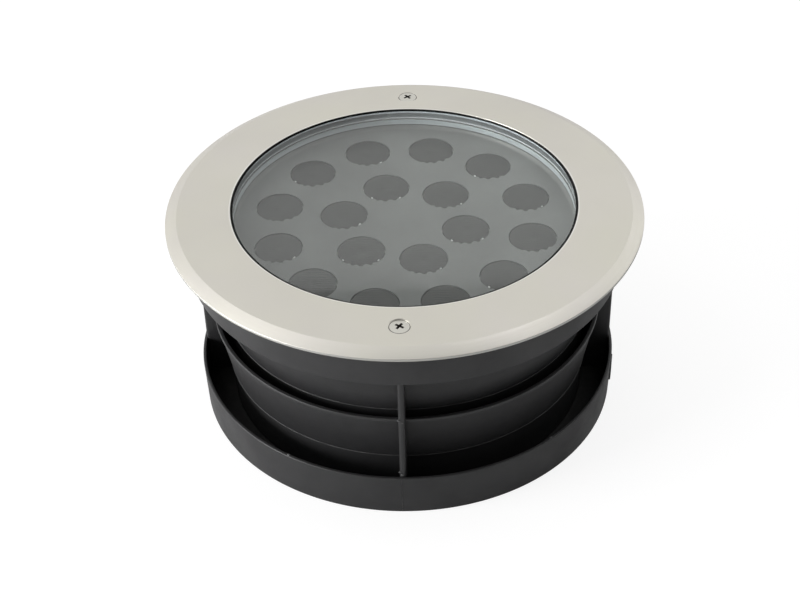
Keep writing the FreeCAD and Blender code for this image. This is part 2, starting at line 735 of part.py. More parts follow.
def supply_leads():
    """Short straight leads from the terminal block to the driver."""
    x0 = driver_end() - DRIVER_L - BLOCK_GAP
    z = BAY_Z - SUPPLY_DROP
    leads = []
    for way in range(BLOCK_WAYS):
        y = SUPPLY_PITCH * (way - (BLOCK_WAYS - 1) / 2)
        lead = Part.makeCylinder(SUPPLY_WIRE_R, BLOCK_GAP, V(x0, y, z), V(1, 0, 0))
        leads.append(turned(lead, BAY_TURN))
    return leads


# ---------------------------------------------------------------- base and gland

def base_cover():
    """Base cover with a centring spigot, six raised ears and the gland's hole."""
    disc = rod(BARREL_R, BASE_UNDER, BASE_Z)
    outer = BARREL_IN - SPIGOT_PLAY
    spigot = tube(outer, outer - SPIGOT_T, BASE_UNDER + BASE_T / 2, BASE_Z + SPIGOT_H)
    pad_top = BARREL_FOOT - PAD_GAP
    ear = rod(BASE_BOSS_R, BASE_UNDER, pad_top, BASE_RING).cut(rod(BARREL_R, BASE_Z, pad_top))
    neck = block(BARREL_R - BASE_BOSS_R, BASE_RING, -BASE_BOSS_R, BASE_BOSS_R, BASE_UNDER, BASE_Z)
    added = ring_of(ear, BASE_SCREWS, base_angles()) + ring_of(neck, BASE_SCREWS, base_angles())
    body = fuse(disc, [spigot] + added)
    holes = ring_of(rod(M4_R + HOLE_PLAY, BASE_UNDER, pad_top, BASE_RING), BASE_SCREWS, base_angles())
    return body.cut(holes + [rod(gland_thread() + GLAND_FIT, BASE_UNDER, BASE_Z)])


def base_gasket():
    """Flat seal between the barrel's foot and the base cover."""
    return tube(BARREL_R - BASE_SEAL_MARGIN, BARREL_IN + BASE_SEAL_MARGIN, BASE_Z, BARREL_FOOT)


def base_screws():
    """Screws up through the base cover's ears."""
    screw = pan_screw(M4_R, M4_HEAD_R, M4_HEAD_H, BASE_UNDER, BASE_Z + BASE_GRIP)
    screw.translate(V(BASE_RING, 0, 0))
    return ring_of(screw, BASE_SCREWS, base_angles())


def insert_outer():
    """Outside of the gland's rubber insert."""
    return CABLE_R + INSERT_WALL


def gland_thread():
    """Thread radius of the gland's body."""
    return insert_outer() + GLAND_FIT + GLAND_WALL


def hex_top():
    """Top of the gland's hexagon, under its washer."""
    return BASE_UNDER - GLAND_WASHER_T


def neck_foot():
    """Lower end of the gland's body, inside the cap."""
    return hex_top() - GLAND_HEX_H - GLAND_NECK_H


def cap_foot():
    """Lower end of the gland's cap."""
    return neck_foot() - INSERT_PROUD - CAP_TOP


def gland_body():
    """Gland body: thread through the base, hexagon and clamping neck."""
    thread = rod(gland_thread(), hex_top(), BASE_Z + LOCKNUT_H + THREAD_PROUD)
    hexa = hexagon(gland_thread() + GLAND_SHOULDER, hex_top() - GLAND_HEX_H, hex_top())
    neck = rod(gland_thread(), neck_foot(), hex_top())
    body = fuse(thread, [hexa, neck])
    pocket = rod(insert_outer() + GLAND_FIT, neck_foot(), hex_top() - GLAND_HEX_H)
    bore = rod(insert_outer() - INSERT_WALL / 2, neck_foot(), BASE_Z + LOCKNUT_H + THREAD_PROUD)
    return body.cut([pocket, bore])


def gland_washer():
    """Flat seal under the gland's hexagon."""
    return tube(gland_thread() + GLAND_WASHER_W, gland_thread() + GLAND_FIT, hex_top(), BASE_UNDER)


def gland_locknut():
    """Hexagonal nut inside the base cover."""
    nut = hexagon(gland_thread() + LOCKNUT_SHOULDER, BASE_Z, BASE_Z + LOCKNUT_H)
    return nut.cut(rod(gland_thread() + THREAD_PLAY, BASE_Z, BASE_Z + LOCKNUT_H))


def gland_insert():
    """Rubber insert that grips the cable."""
    return tube(insert_outer(), CABLE_R, neck_foot() - INSERT_PROUD, hex_top() - GLAND_HEX_H)


def gland_cap():
    """Cap nut: hexagon with a domed end and a round mouth for the cable."""
    head = hex_top() - GLAND_HEX_H - PAD_GAP
    flat = gland_thread() + CAP_SHOULDER
    corner = flat / cos(radians(FULL / 12))
    prism = hexagon(flat, cap_foot(), head)
    dome = revolve([
        (0, cap_foot()), (insert_outer() + CAP_LIP, cap_foot()), (corner, cap_foot() + CAP_DOME),
        (corner, head), (0, head)])
    cap = prism.common(dome)
    hollow = revolve([
        (0, head), (gland_thread() + THREAD_PLAY, head), (gland_thread() + THREAD_PLAY, neck_foot()),
        (insert_outer() + GLAND_FIT, neck_foot() - INSERT_PROUD), (0, neck_foot() - INSERT_PROUD)])
    mouth = rod(CABLE_R + HOLE_PLAY, cap_foot(), head)
    return cap.cut([hollow, mouth])


# ---------------------------------------------------------------- write the parts

def front(shape):
    """The same piece on the near side of the light."""
    return turned(shape, FULL / 2)


def build():
    """Every piece, by the name of its node."""
    return {
        "mounting_sleeve": mounting_sleeve(),
        "sleeve_inserts": sleeve_inserts(),
        "sleeve_seal": sleeve_seal(),
        "face_ring": face_ring(),
        "ring_studs": ring_studs(),
        "ring_screws": ring_screws(),
        "glass_lens": glass_lens(),
        "glass_gasket": glass_gasket(),
        "glass_seat_seal": glass_seat_seal(),
        "lamp_housing": lamp_housing(),
        "optic_tray": optic_tray(),
        "lens_holders": lens_holders(),
        "lenses": lenses(),
        "led_emitters": led_emitters(),
        "led_board": board_disc(BOARD_R, BOARD_UNDER, BOARD_TOP),
        "thermal_pad": board_disc(BOARD_R - PAD_INSET, PLATFORM_Z, BOARD_UNDER),
        "board_screws": board_screws(),
        "driver_case": driver_case(),
        "driver_screws": driver_screws(),
        "terminal_block": terminal_block(),
        "terminal_screw": terminal_screw(),
        "earth_screw": earth_screw(),
        "led_leads": led_leads(),
        "supply_leads": supply_leads(),
        "lead_grommet": lead_grommet(),
        "base_cover": base_cover(),
        "base_gasket": base_gasket(),
        "base_screws": base_screws(),
        "gland_body": gland_body(),
        "gland_washer": gland_washer(),
        "gland_locknut": gland_locknut(),
        "gland_insert": gland_insert(),
        "gland_cap": gland_cap(),
        "face_screw_back": face_screw(),
        "face_screw_front": front(face_screw()),
    }


def write(parts):
    """One STEP file per node."""
    os.makedirs("parts", exist_ok=True)
    for name, shape in parts.items():
        if isinstance(shape, list):
            shape = Part.makeCompound(shape)
        shape.exportStep("parts/%s.step" % name)
        box = shape.BoundBox
        print("%-18s solids %2d volume %10.1f z %7.2f to %7.2f valid %s" % (
            name, len(shape.Solids), shape.Volume, box.ZMin, box.ZMax, shape.isValid()))


print("ring %.2f high %.2f screws on %.2f bevel %.1f deg" % (
    RING_R, RING_TOP, SCREW_RING, degrees(atan2(BEVEL_H, BEVEL_W))))
write(build())
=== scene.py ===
from math import cos, hypot, pi, radians, sin, tan

import bmesh
import bpy
from mathutils import Matrix, Vector


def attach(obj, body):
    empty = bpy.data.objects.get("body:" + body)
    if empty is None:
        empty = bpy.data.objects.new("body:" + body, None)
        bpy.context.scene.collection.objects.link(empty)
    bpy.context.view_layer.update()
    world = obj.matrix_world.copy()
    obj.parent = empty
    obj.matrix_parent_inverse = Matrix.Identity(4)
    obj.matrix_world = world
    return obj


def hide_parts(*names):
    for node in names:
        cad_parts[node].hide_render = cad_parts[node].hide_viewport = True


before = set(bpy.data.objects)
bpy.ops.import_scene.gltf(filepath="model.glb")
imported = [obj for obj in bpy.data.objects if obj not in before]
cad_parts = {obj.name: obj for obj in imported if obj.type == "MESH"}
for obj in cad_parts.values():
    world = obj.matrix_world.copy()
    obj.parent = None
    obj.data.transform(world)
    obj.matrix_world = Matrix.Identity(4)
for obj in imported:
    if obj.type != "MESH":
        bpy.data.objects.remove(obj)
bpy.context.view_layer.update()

MM = 0.001

# ---------------------------------------------------------------- sizes, in millimetres

# face ring
RING_TOP = 111.4
RING_UNDER = 108.4
RING_EYE = 87.2
RING_R = 120.0
FACE_R = 114.2
FACE_Z = 110.4
BEVEL_FOOT = 107.4
LIP_BAND = 0.75
RIM_FOOT = 106.1
RIM_IN = 117.6
BEND_R = 113.2

# face screws
SCREW_RING = 100.8
SCREW_FACE = 110.9
SCREW_TOP = 111.1
SCREW_EDGE = 110.5
SCREW_HEAD_R = 4.7
SINK_R = 4.98
SCREW_R = 2.5
SCREW_TIP = 89.1
THREAD_PITCH = 0.8
THREAD_DEPTH = 0.35

# glass and its seals
GLASS_TOP = 110.7
GLASS_SHOULDER = 107.2
GLASS_UNDER = 100.7
GLASS_R = 86.3
GLASS_RIM_R = 91.2
SEAT_Z = 99.5
SEAL_IN = 86.2
SEAL_EDGE = 92.8

# optics, their cups and the tray
HOLDER_TOP = 92.3
HOLDER_FOOT = 83.2
BOARD_TOP = 81.0
HOLDER_R = 11.6
HOLDER_WALL = 0.8
HOLDER_EYE = 4.5
LENS_STEP = 2.0
OPTIC_FLANGE = 1.3
OPTIC_FOOT = 83.3
TRAY_TOP = 92.5
TRAY_IN = 85.6
LEDGE_Z = TRAY_TOP + 3.1
HOLE_R = 11.85
OUTER_RING = 64.5
INNER_RING = 31.0
LENS_TURN = 18.6

# sleeve
COLLAR_R = 110.4
COLLAR_IN = 106.9
COLLAR_Z = 106.9
SHELF_Z = 83.8
SHELF_T = 2.5
SHELF_IN = 98.5
UPPER_HEAD_R = 100.5
UPPER_FOOT_R = 94.2
UPPER_FOOT_Z = 54.4
WELL_R = 93.0
WELL_IN = 91.0
WELL_CORE = 92.0
LIP_R = 100.7
LIP_IN = 98.9
LIP_Z = 54.0
MID_FOOT_R = 94.8
MID_FOOT_Z = 24.6
SKIRT_R = 109.2
SKIRT_IN = 107.5
SKIRT_H = 22.9
SKIRT_TAPER = 0.7
FLOOR_T = 2.5
RIB_R = 107.9
RIB_T = 3.2
RIB_HEAD = SHELF_Z + 1.2
FLASH = 0.2
BOSS_R = 4.8
INSERT_R = 3.5
INSERT_DEPTH = 10.0
PILOT_R = 2.75
PILOT_END = 88.1


# ---------------------------------------------------------------- node helpers

def add(tree, kind, values=None, **settings):
    """Node with its settings, inputs given as numbers or as sockets to link."""
    node = tree.nodes.new(kind)
    for key, value in settings.items():
        setattr(node, key, value)
    for key, value in (values or {}).items():
        if isinstance(value, bpy.types.NodeSocket):
            tree.links.new(value, node.inputs[key])
        else:
            node.inputs[key].default_value = value
    return node


def math(tree, operation, first, second=0.0, third=0.0):
    """Output of one math node."""
    node = add(tree, "ShaderNodeMath", {0: first, 1: second, 2: third}, operation=operation)
    return node.outputs[0]


def mixed(tree, factor, first, second):
    """Colour between two others."""
    node = add(tree, "ShaderNodeMix", {0: factor, 6: first, 7: second}, data_type="RGBA")
    return node.outputs[2]


def ranged(tree, value, low, high, out_low, out_high):
    """Value moved from one range to another."""
    node = add(tree, "ShaderNodeMapRange", {0: value, 1: low, 2: high, 3: out_low, 4: out_high})
    return node.outputs[0]


def new_group(name, inputs, outputs):
    """Empty shader group with named sockets."""
    tree = bpy.data.node_groups.new(name, "ShaderNodeTree")
    for label, kind, value in inputs:
        socket = tree.interface.new_socket(label, in_out="INPUT", socket_type=kind)
        socket.default_value = value
    for label, kind in outputs:
        tree.interface.new_socket(label, in_out="OUTPUT", socket_type=kind)
    return tree, tree.nodes.new("NodeGroupInput"), tree.nodes.new("NodeGroupOutput")


FLOAT = "NodeSocketFloat"


def noise(tree, place, scale, detail, rough=0.5):
    """Height of plain noise, from 0 to 1."""
    node = add(tree, "ShaderNodeTexNoise", {"Vector": place, "Scale": scale, "Detail": detail,
                                            "Roughness": rough})
    return node.outputs[0]


def moulded_grain():
    """Fine spark-eroded grain with broad unevenness: height, and two masks from 0 to 1."""
    tree, source, sink = new_group(
        "moulded_grain",
        [("Grain", FLOAT, 2600.0), ("Patches", FLOAT, 45.0)],
        [("Height", FLOAT), ("Fine", FLOAT), ("Broad", FLOAT)])
    place = add(tree, "ShaderNodeTexCoord").outputs["Object"]
    fine = noise(tree, place, source.outputs["Grain"], 2.0, 0.6)
    coarse = noise(tree, place, math(tree, "MULTIPLY", source.outputs["Grain"], 0.31), 3.0)
    broad = noise(tree, place, source.outputs["Patches"], 4.0, 0.55)
    height = math(tree, "ADD", fine, math(tree, "MULTIPLY", coarse, 0.7))
    tree.links.new(height, sink.inputs["Height"])
    tree.links.new(fine, sink.inputs["Fine"])
    tree.links.new(ranged(tree, broad, 0.32, 0.68, 0.0, 1.0), sink.inputs["Broad"])
    return tree


def edge_wear_sheen():
    """Mask of edges, broken up by noise: partly rubbed wear, partly painted edge highlight."""
    tree, source, sink = new_group(
        "edge_wear_sheen", [("Width", FLOAT, 0.0006), ("Breakup", FLOAT, 180.0)], [("Mask", FLOAT)])
    bevel = add(tree, "ShaderNodeBevel", {"Radius": source.outputs["Width"]}, samples=6)
    plain = add(tree, "ShaderNodeNewGeometry")
    dot = add(tree, "ShaderNodeVectorMath", {0: bevel.outputs[0], 1: plain.outputs["Normal"]},
              operation="DOT_PRODUCT")
    edge = ranged(tree, dot.outputs["Value"], 0.995, 0.86, 0.0, 1.0)
    place = add(tree, "ShaderNodeTexCoord").outputs["Object"]
    patchy = noise(tree, place, source.outputs["Breakup"], 5.0)
    broken = ranged(tree, patchy, 0.35, 0.62, 0.25, 1.0)
    tree.links.new(math(tree, "MULTIPLY", edge, broken), sink.inputs["Mask"])
    return tree


def settled_dust():
    """Mask of fine dust on faces that look up."""
    tree, source, sink = new_group("settled_dust", [("Scale", FLOAT, 220.0)], [("Mask", FLOAT)])
    normal = add(tree, "ShaderNodeNewGeometry").outputs["Normal"]
    up = add(tree, "ShaderNodeSeparateXYZ", {0: normal}).outputs["Z"]
    place = add(tree, "ShaderNodeTexCoord").outputs["Object"]
    facing = ranged(tree, up, 0.2, 1.0, 0.0, 1.0)
    patchy = noise(tree, place, source.outputs["Scale"], 6.0, 0.7)
    speck = ranged(tree, patchy, 0.45, 0.75, 0.0, 1.0)
    tree.links.new(math(tree, "MULTIPLY", facing, speck), sink.inputs["Mask"])
    return tree


def turned_marks():
    """Tool marks that run round the Z axis, and a fine even satin between them."""
    tree, source, sink = new_group(
        "turned_marks", [("Pitch", FLOAT, 5200.0), ("Satin", FLOAT, 3800.0)],
        [("Marks", FLOAT), ("Satin", FLOAT), ("Broad", FLOAT)])
    place = add(tree, "ShaderNodeTexCoord").outputs["Object"]
    parts = add(tree, "ShaderNodeSeparateXYZ", {0: place})
    x, y, z = parts.outputs[0], parts.outputs[1], parts.outputs[2]
    square = math(tree, "ADD", math(tree, "MULTIPLY", x, x), math(tree, "MULTIPLY", y, y))
    radius = math(tree, "SQRT", square)
    depth = math(tree, "ADD", radius, math(tree, "MULTIPLY", z, 0.97))
    round_x = math(tree, "DIVIDE", x, radius)
    round_y = math(tree, "DIVIDE", y, radius)
    along = add(tree, "ShaderNodeCombineXYZ", {
        0: math(tree, "MULTIPLY", depth, source.outputs["Pitch"]),
        1: math(tree, "MULTIPLY", round_x, 5.0), 2: math(tree, "MULTIPLY", round_y, 5.0)})
    tree.links.new(noise(tree, along.outputs[0], 1.0, 3.0, 0.7), sink.inputs["Marks"])
    tree.links.new(noise(tree, place, source.outputs["Satin"], 2.0), sink.inputs["Satin"])
    broad = noise(tree, place, 14.0, 3.0)
    tree.links.new(ranged(tree, broad, 0.35, 0.65, 0.0, 1.0), sink.inputs["Broad"])
    return tree


GRAIN = moulded_grain()
EDGE_WEAR_SHEEN = edge_wear_sheen()
DUST = settled_dust()
TURNED = turned_marks()


def grouped(tree, group, **values):
    """One of the shared effects, with its own values."""
    return add(tree, "ShaderNodeGroup", values, node_tree=group)


def blank(name):
    """New node material: its tree and its shader."""
    material = bpy.data.materials.new(name)
    material.use_nodes = True
    return material, material.node_tree, material.node_tree.nodes["Principled BSDF"]


def rgb(colour, level=1.0):
    """Colour at a level, with its alpha."""
    return tuple(level * c for c in colour) + (1.0,)


def surfaced(tree, shader, base, rough, height, depth):
    """Colour, roughness and fine relief, the relief's depth in metres."""
    tree.links.new(base, shader.inputs["Base Color"])
    tree.links.new(rough, shader.inputs["Roughness"])
    bump = add(tree, "ShaderNodeBump", {"Height": height, "Strength": 1.0, "Distance": depth})
    tree.links.new(bump.outputs[0], shader.inputs["Normal"])


# ---------------------------------------------------------------- materials

DUST_COLOUR = (0.42, 0.40, 0.37)


def coated(name, colour, shade, wear_sheen_tone, rough, grain=2600.0, depth=0.00004, patches=45.0,
           dust=0.0, metal=0.0, wear_and_sheen=1.0, specular=0.5, coat=0.0):
    """Moulded or painted surface: uneven colour, lighter edges that are partly wear and partly
    painted highlight, settled dust, fine grain.
    """
    material, tree, shader = blank(name)
    tone = grouped(tree, GRAIN, Grain=grain, Patches=patches)
    wear_sheen_mask = grouped(tree, EDGE_WEAR_SHEEN, Width=0.0007, Breakup=160.0)
    base = mixed(tree, tone.outputs["Broad"], rgb(colour), rgb(shade))
    # lighter edge colour: partly wear, partly painted highlight on lips and edges
    edge = math(tree, "MULTIPLY", wear_sheen_mask.outputs["Mask"], wear_and_sheen)
    base = mixed(tree, edge, base, rgb(wear_sheen_tone))
    if dust:
        specks = grouped(tree, DUST, Scale=240.0)
        settled = math(tree, "MULTIPLY", specks.outputs["Mask"], dust)
        base = mixed(tree, settled, base, rgb(DUST_COLOUR))
    spread = ranged(tree, tone.outputs["Broad"], 0.0, 1.0, rough - 0.05, rough + 0.06)
    spread = math(tree, "SUBTRACT", spread, math(tree, "MULTIPLY", edge, 0.08))
    surfaced(tree, shader, base, spread, tone.outputs["Height"], depth)
    shader.inputs["Metallic"].default_value = metal
    shader.inputs["Specular IOR Level"].default_value = specular
    shader.inputs["Coat Weight"].default_value = coat
    shader.inputs["Coat Roughness"].default_value = 0.08
    return material


def steel(name, colour, rough, marks=1.0, pitch=5200.0):
    """Stainless steel: turned marks round the axis over a fine satin, warm clouds, and brighter
    edges that are partly wear and partly painted highlight.
    """
    material, tree, shader = blank(name)
    tone = grouped(tree, TURNED, Pitch=pitch, Satin=3600.0)
    wear_sheen_mask = grouped(tree, EDGE_WEAR_SHEEN, Width=0.0005, Breakup=240.0)
    edge_highlight = tuple(min(1.0, 1.12 * c) for c in colour)
    cast = tuple(c * k for c, k in zip(colour, (0.985, 0.998, 0.95)))
    cloud = grouped(tree, GRAIN, Grain=900.0, Patches=17.0)
    base = mixed(tree, tone.outputs["Broad"], rgb(colour), rgb(colour, 0.93))
    base = mixed(tree, math(tree, "MULTIPLY", cloud.outputs["Broad"], 0.8), base, rgb(cast))
    # brighter edges: partly wear, partly painted highlight
    base = mixed(tree, math(tree, "MULTIPLY", wear_sheen_mask.outputs["Mask"], 0.7), base, rgb(edge_highlight))
    uneven = ranged(tree, tone.outputs["Marks"], 0.3, 0.7, rough - 0.06, rough + 0.06)
    uneven = math(tree, "SUBTRACT", uneven, math(tree, "MULTIPLY", wear_sheen_mask.outputs["Mask"], 0.1))
    height = math(tree, "ADD", math(tree, "MULTIPLY", tone.outputs["Marks"], marks),
                  math(tree, "MULTIPLY", tone.outputs["Satin"], 1.2))
    surfaced(tree, shader, base, uneven, height, 0.00001)
    shader.inputs["Metallic"].default_value = 1.0
    return material


def clear(name, colour):
    """Clear glass with a faint smear, which lets the lamps' light through."""
    material, tree, shader = blank(name)
    tone = grouped(tree, GRAIN, Grain=900.0, Patches=22.0)
    tint = mixed(tree, tone.outputs["Broad"], rgb(colour), rgb(colour, 0.985))
    tree.links.new(tint, shader.inputs["Base Color"])
    smear = ranged(tree, tone.outputs["Broad"], 0.0, 1.0, 0.0, 0.03)
    tree.links.new(smear, shader.inputs["Roughness"])
    shader.inputs["Transmission Weight"].default_value = 1.0
    shader.inputs["IOR"].default_value = 1.5
    light = add(tree, "ShaderNodeLightPath")
    through = add(tree, "ShaderNodeBsdfTransparent", {"Color": rgb(colour, 0.94)})
    switch = add(tree, "ShaderNodeMixShader", {
        0: light.outputs["Is Shadow Ray"], 1: shader.outputs[0], 2: through.outputs[0]})
    tree.links.new(switch.outputs[0], tree.nodes["Material Output"].inputs["Surface"])
    return material


def ribbed_optic(name, colour):
    """Frosted optic with fine straight ribs under a clear skin; the ribs' crests lighter as painted
    sheen.
    """
    material, tree, shader = blank(name)
    tone = grouped(tree, GRAIN, Grain=1100.0, Patches=260.0)
    place = add(tree, "ShaderNodeTexCoord").outputs["Object"]
    across = add(tree, "ShaderNodeSeparateXYZ", {0: place}).outputs[1]
    steady = math(tree, "MULTIPLY", across, 3700.0)
    ribs = math(tree, "SINE", math(tree, "MULTIPLY_ADD", tone.outputs["Broad"], 2.2, steady))
    # lighter crests of the ribs: painted sheen
    rib_sheen = ranged(tree, ribs, -0.2, 1.0, 0.0, tone.outputs["Broad"])
    base = mixed(tree, tone.outputs["Broad"], rgb(colour), rgb(colour, 0.78))
    base = mixed(tree, rib_sheen, base, rgb(colour, 1.6))
    rough = ranged(tree, tone.outputs["Fine"], 0.3, 0.7, 0.42, 0.58)
    height = math(tree, "MULTIPLY_ADD", tone.outputs["Height"], 0.3, ribs)
    surfaced(tree, shader, base, rough, height, 0.00003)
    shader.inputs["Specular IOR Level"].default_value = 0.35
    shader.inputs["Coat Weight"].default_value = 0.4
    shader.inputs["Coat Roughness"].default_value = 0.06
    return material


def ground_edge(name, colour):
    """Ground edge of the glass: frosted, with fine wheel marks."""
    material, tree, shader = blank(name)
    tone = grouped(tree, GRAIN, Grain=2200.0, Patches=60.0)
    base = mixed(tree, tone.outputs["Broad"], rgb(colour), rgb(colour, 0.9))
    rough = ranged(tree, tone.outputs["Fine"], 0.3, 0.7, 0.45, 0.7)
    surfaced(tree, shader, base, rough, tone.outputs["Height"], 0.00003)
    return material


BLACK_MOULDING = coated("black_moulding", (0.025, 0.025, 0.026), (0.018, 0.018, 0.019),
                        (0.15, 0.15, 0.15), 0.44, depth=0.00005, dust=0.03, wear_and_sheen=0.75)
# darker copy of the black moulding for the skirt's gutter: painted shade
GUTTER_SHADE_BLACK = coated("gutter_painted_shade", (0.010, 0.010, 0.010), (0.007, 0.007, 0.007),
                      (0.03, 0.03, 0.03), 0.62, depth=0.00006, dust=0.02, wear_and_sheen=0.3, specular=0.25)
BLACK_CASTING = coated("black_casting", (0.032, 0.032, 0.034), (0.022, 0.022, 0.023),
                       (0.16, 0.16, 0.15), 0.5, grain=1500.0, depth=0.00009, wear_and_sheen=0.6)
SATIN_STEEL = steel("satin_steel", (0.82, 0.79, 0.725), 0.36)
# bright copy of the steel for a band at the eye's edge: painted highlight
EYE_HIGHLIGHT_STEEL = steel("eye_highlight_steel", (0.985, 0.965, 0.92), 0.34)
BEVEL_STEEL = steel("bevel_steel", (0.83, 0.80, 0.75), 0.50, marks=0.5, pitch=4200.0)
# darker copy of the ring's steel for its upright rim: painted shade
RIM_SHADE_STEEL = steel("rim_shade_steel", (0.54, 0.535, 0.52), 0.55, marks=0.5, pitch=4200.0)
SCREW_STEEL = steel("screw_steel", (0.78, 0.76, 0.71), 0.32, pitch=9000.0)
# dark brownish steel for the countersinks, the cross recess and under the screw heads: painted
# shade
PAINTED_SHADE_STEEL = coated("painted_shade_steel", (0.060, 0.052, 0.042), (0.035, 0.031, 0.026),
                      (0.10, 0.095, 0.09), 0.6, grain=1800.0, depth=0.00003, wear_and_sheen=0.5, specular=0.3)
PALE_ENAMEL = coated("pale_enamel", (0.56, 0.61, 0.63), (0.50, 0.55, 0.57), (0.62, 0.66, 0.67), 0.5,
                     grain=1400.0, depth=0.00002, wear_and_sheen=0.4, specular=0.4)
# dark grey for the line in the tray's ledge: painted shade
LEDGE_SHADE_GREY = coated("ledge_painted_shade", (0.075, 0.080, 0.080), (0.06, 0.064, 0.064), (0.11, 0.115, 0.115),
                    0.6, grain=1400.0, depth=0.00002, wear_and_sheen=0.4, specular=0.3)
# white gloss for the beads at the optics' front edges: painted highlight
GLINT_WHITE = coated("painted_glint_white", (0.82, 0.83, 0.82), (0.74, 0.75, 0.74), (0.86, 0.86, 0.86), 0.2,
                    grain=1400.0, depth=0.00002, wear_and_sheen=0.4, coat=0.8)
RUBBED_MOULDING = coated("rubbed_moulding", (0.085, 0.085, 0.086), (0.06, 0.06, 0.06),
                         (0.16, 0.16, 0.16), 0.36, grain=1400.0, depth=0.00003, wear_and_sheen=0.6)
BRASS = coated("turned_brass", (0.66, 0.47, 0.19), (0.58, 0.40, 0.15), (0.85, 0.68, 0.36), 0.3,
               grain=1800.0, depth=0.00002, metal=1.0)
CLEAR_GLASS = clear("clear_glass", (0.95, 0.962, 0.954))
GROUND_EDGE = ground_edge("ground_edge", (0.50, 0.56, 0.59))
GROUND_RIM = ground_edge("ground_rim", (0.90, 0.95, 0.97))
SMOKED_OPTIC = ribbed_optic("smoked_optic", (0.046, 0.050, 0.044))
BLACK_SILICONE = coated("black_silicone", (0.006, 0.006, 0.006), (0.009, 0.009, 0.009),
                        (0.02, 0.02, 0.02), 0.6, grain=1200.0, depth=0.00002, wear_and_sheen=0.3,
                        specular=0.15)
GREY_SILICONE = coated("grey_silicone", (0.76, 0.80, 0.82), (0.70, 0.74, 0.76), (0.80, 0.83, 0.84),
                       0.5, grain=1200.0, depth=0.00002, wear_and_sheen=0.3)
TRAY_GREY = coated("tray_grey", (0.245, 0.256, 0.246), (0.190, 0.198, 0.190), (0.26, 0.265, 0.26),
                   0.5, grain=2000.0, depth=0.00003, patches=24.0, wear_and_sheen=0.5)
HOLDER_BLACK = coated("holder_black", (0.03, 0.03, 0.03), (0.02, 0.02, 0.02), (0.12, 0.12, 0.12),
                      0.3, grain=1800.0, depth=0.00002, wear_and_sheen=0.4)
PHOSPHOR = coated("phosphor", (0.80, 0.62, 0.16), (0.72, 0.55, 0.12), (0.86, 0.84, 0.78), 0.4,
                  grain=3000.0, depth=0.00002)
BOARD_WHITE = coated("board_white", (0.80, 0.81, 0.80), (0.74, 0.75, 0.74), (0.66, 0.60, 0.45),
                     0.35, grain=1500.0, depth=0.00001, wear_and_sheen=0.4)
PAD_GREY = coated("pad_grey", (0.36, 0.41, 0.46), (0.31, 0.36, 0.41), (0.42, 0.47, 0.5), 0.8,
                  grain=1500.0, depth=0.00006)
DRIVER_CASE = coated("driver_case", (0.10, 0.10, 0.11), (0.075, 0.075, 0.08), (0.2, 0.2, 0.2), 0.5,
                     grain=1800.0, depth=0.00005)
WHITE_NYLON = coated("white_nylon", (0.78, 0.77, 0.72), (0.72, 0.71, 0.66), (0.84, 0.83, 0.8), 0.35,
                     grain=1600.0, depth=0.00003)
RED_SLEEVING = coated("red_sleeving", (0.42, 0.03, 0.025), (0.36, 0.025, 0.02), (0.5, 0.1, 0.08),
                      0.45, grain=1600.0, depth=0.00002)
BLUE_SLEEVING = coated("blue_sleeving", (0.03, 0.09, 0.30), (0.025, 0.07, 0.25), (0.1, 0.16, 0.36),
                       0.45, grain=1600.0, depth=0.00002)
BLACK_RUBBER = coated("black_rubber", (0.02, 0.02, 0.02), (0.028, 0.028, 0.027), (0.06, 0.06, 0.06),
                      0.62, grain=1400.0, depth=0.00005, wear_and_sheen=0.5)
BLACK_FOAM = coated("black_foam", (0.022, 0.022, 0.022), (0.032, 0.032, 0.032), (0.05, 0.05, 0.05),
                    0.85, grain=900.0, depth=0.00015, wear_and_sheen=0.4)
BLACK_NYLON = coated("black_nylon", (0.022, 0.022, 0.023), (0.03, 0.03, 0.031), (0.08, 0.08, 0.08),
                     0.34, grain=2200.0, depth=0.00003, wear_and_sheen=0.5)
RED_SILICONE = coated("red_silicone", (0.34, 0.07, 0.045), (0.28, 0.055, 0.035), (0.4, 0.12, 0.09),
                      0.5, grain=1200.0, depth=0.00003)


# ---------------------------------------------------------------- shapes

def rounded(corners):
    """Profile of (radius, height, round) corners with each corner turned into an arc."""
    points = []
    count = len(corners)
    for k in range(count):
        r, z, size = corners[k]
        if size <= 0.0:
            points.append((r, z))
            continue
        here = Vector((r, z))
        back = Vector(corners[k - 1][:2]) - here
        ahead = Vector(corners[(k + 1) % count][:2]) - here
        room = 0.45 * min(back.length, ahead.length)
        back.normalize()
        ahead.normalize()
        half = back.angle(ahead) / 2
        trim = min(size / tan(half), room)
        size = trim * tan(half)
        centre = here + (back + ahead).normalized() * (size / sin(half))
        start = here + back * trim - centre
        turn = start.angle_signed(here + ahead * trim - centre)
        steps = max(2, int(abs(turn) / radians(18.0)) + 1)
        for step in range(steps + 1):
            angle = -turn * step / steps
            points.append((centre.x + start.x * cos(angle) - start.y * sin(angle),
                           centre.y + start.x * sin(angle) + start.y * cos(angle)))
    return points


def lathe(profile, segments=192):
    """Closed bmesh turned about Z from a profile in millimetres."""
    mesh = bmesh.new()
    rings = []
    for r, z in profile:
        if r < 1e-6:
            rings.append([mesh.verts.new((0.0, 0.0, z * MM))])
            continue
        ring = []
        for k in range(segments):
            angle = 2 * pi * k / segments
            ring.append(mesh.verts.new((r * MM * cos(angle), r * MM * sin(angle), z * MM)))
        rings.append(ring)
    count = len(rings)
    for k in range(count):
        first, second = rings[k], rings[(k + 1) % count]
        if len(first) == 1 and len(second) == 1:
            continue
        for j in range(segments):
            n = (j + 1) % segments
            if len(first) == 1:
                mesh.faces.new((first[0], second[n], second[j]))
            elif len(second) == 1:
                mesh.faces.new((first[j], first[n], second[0]))
            else:
                mesh.faces.new((first[j], first[n], second[n], second[j]))
    bmesh.ops.recalc_face_normals(mesh, faces=mesh.faces)
    return mesh


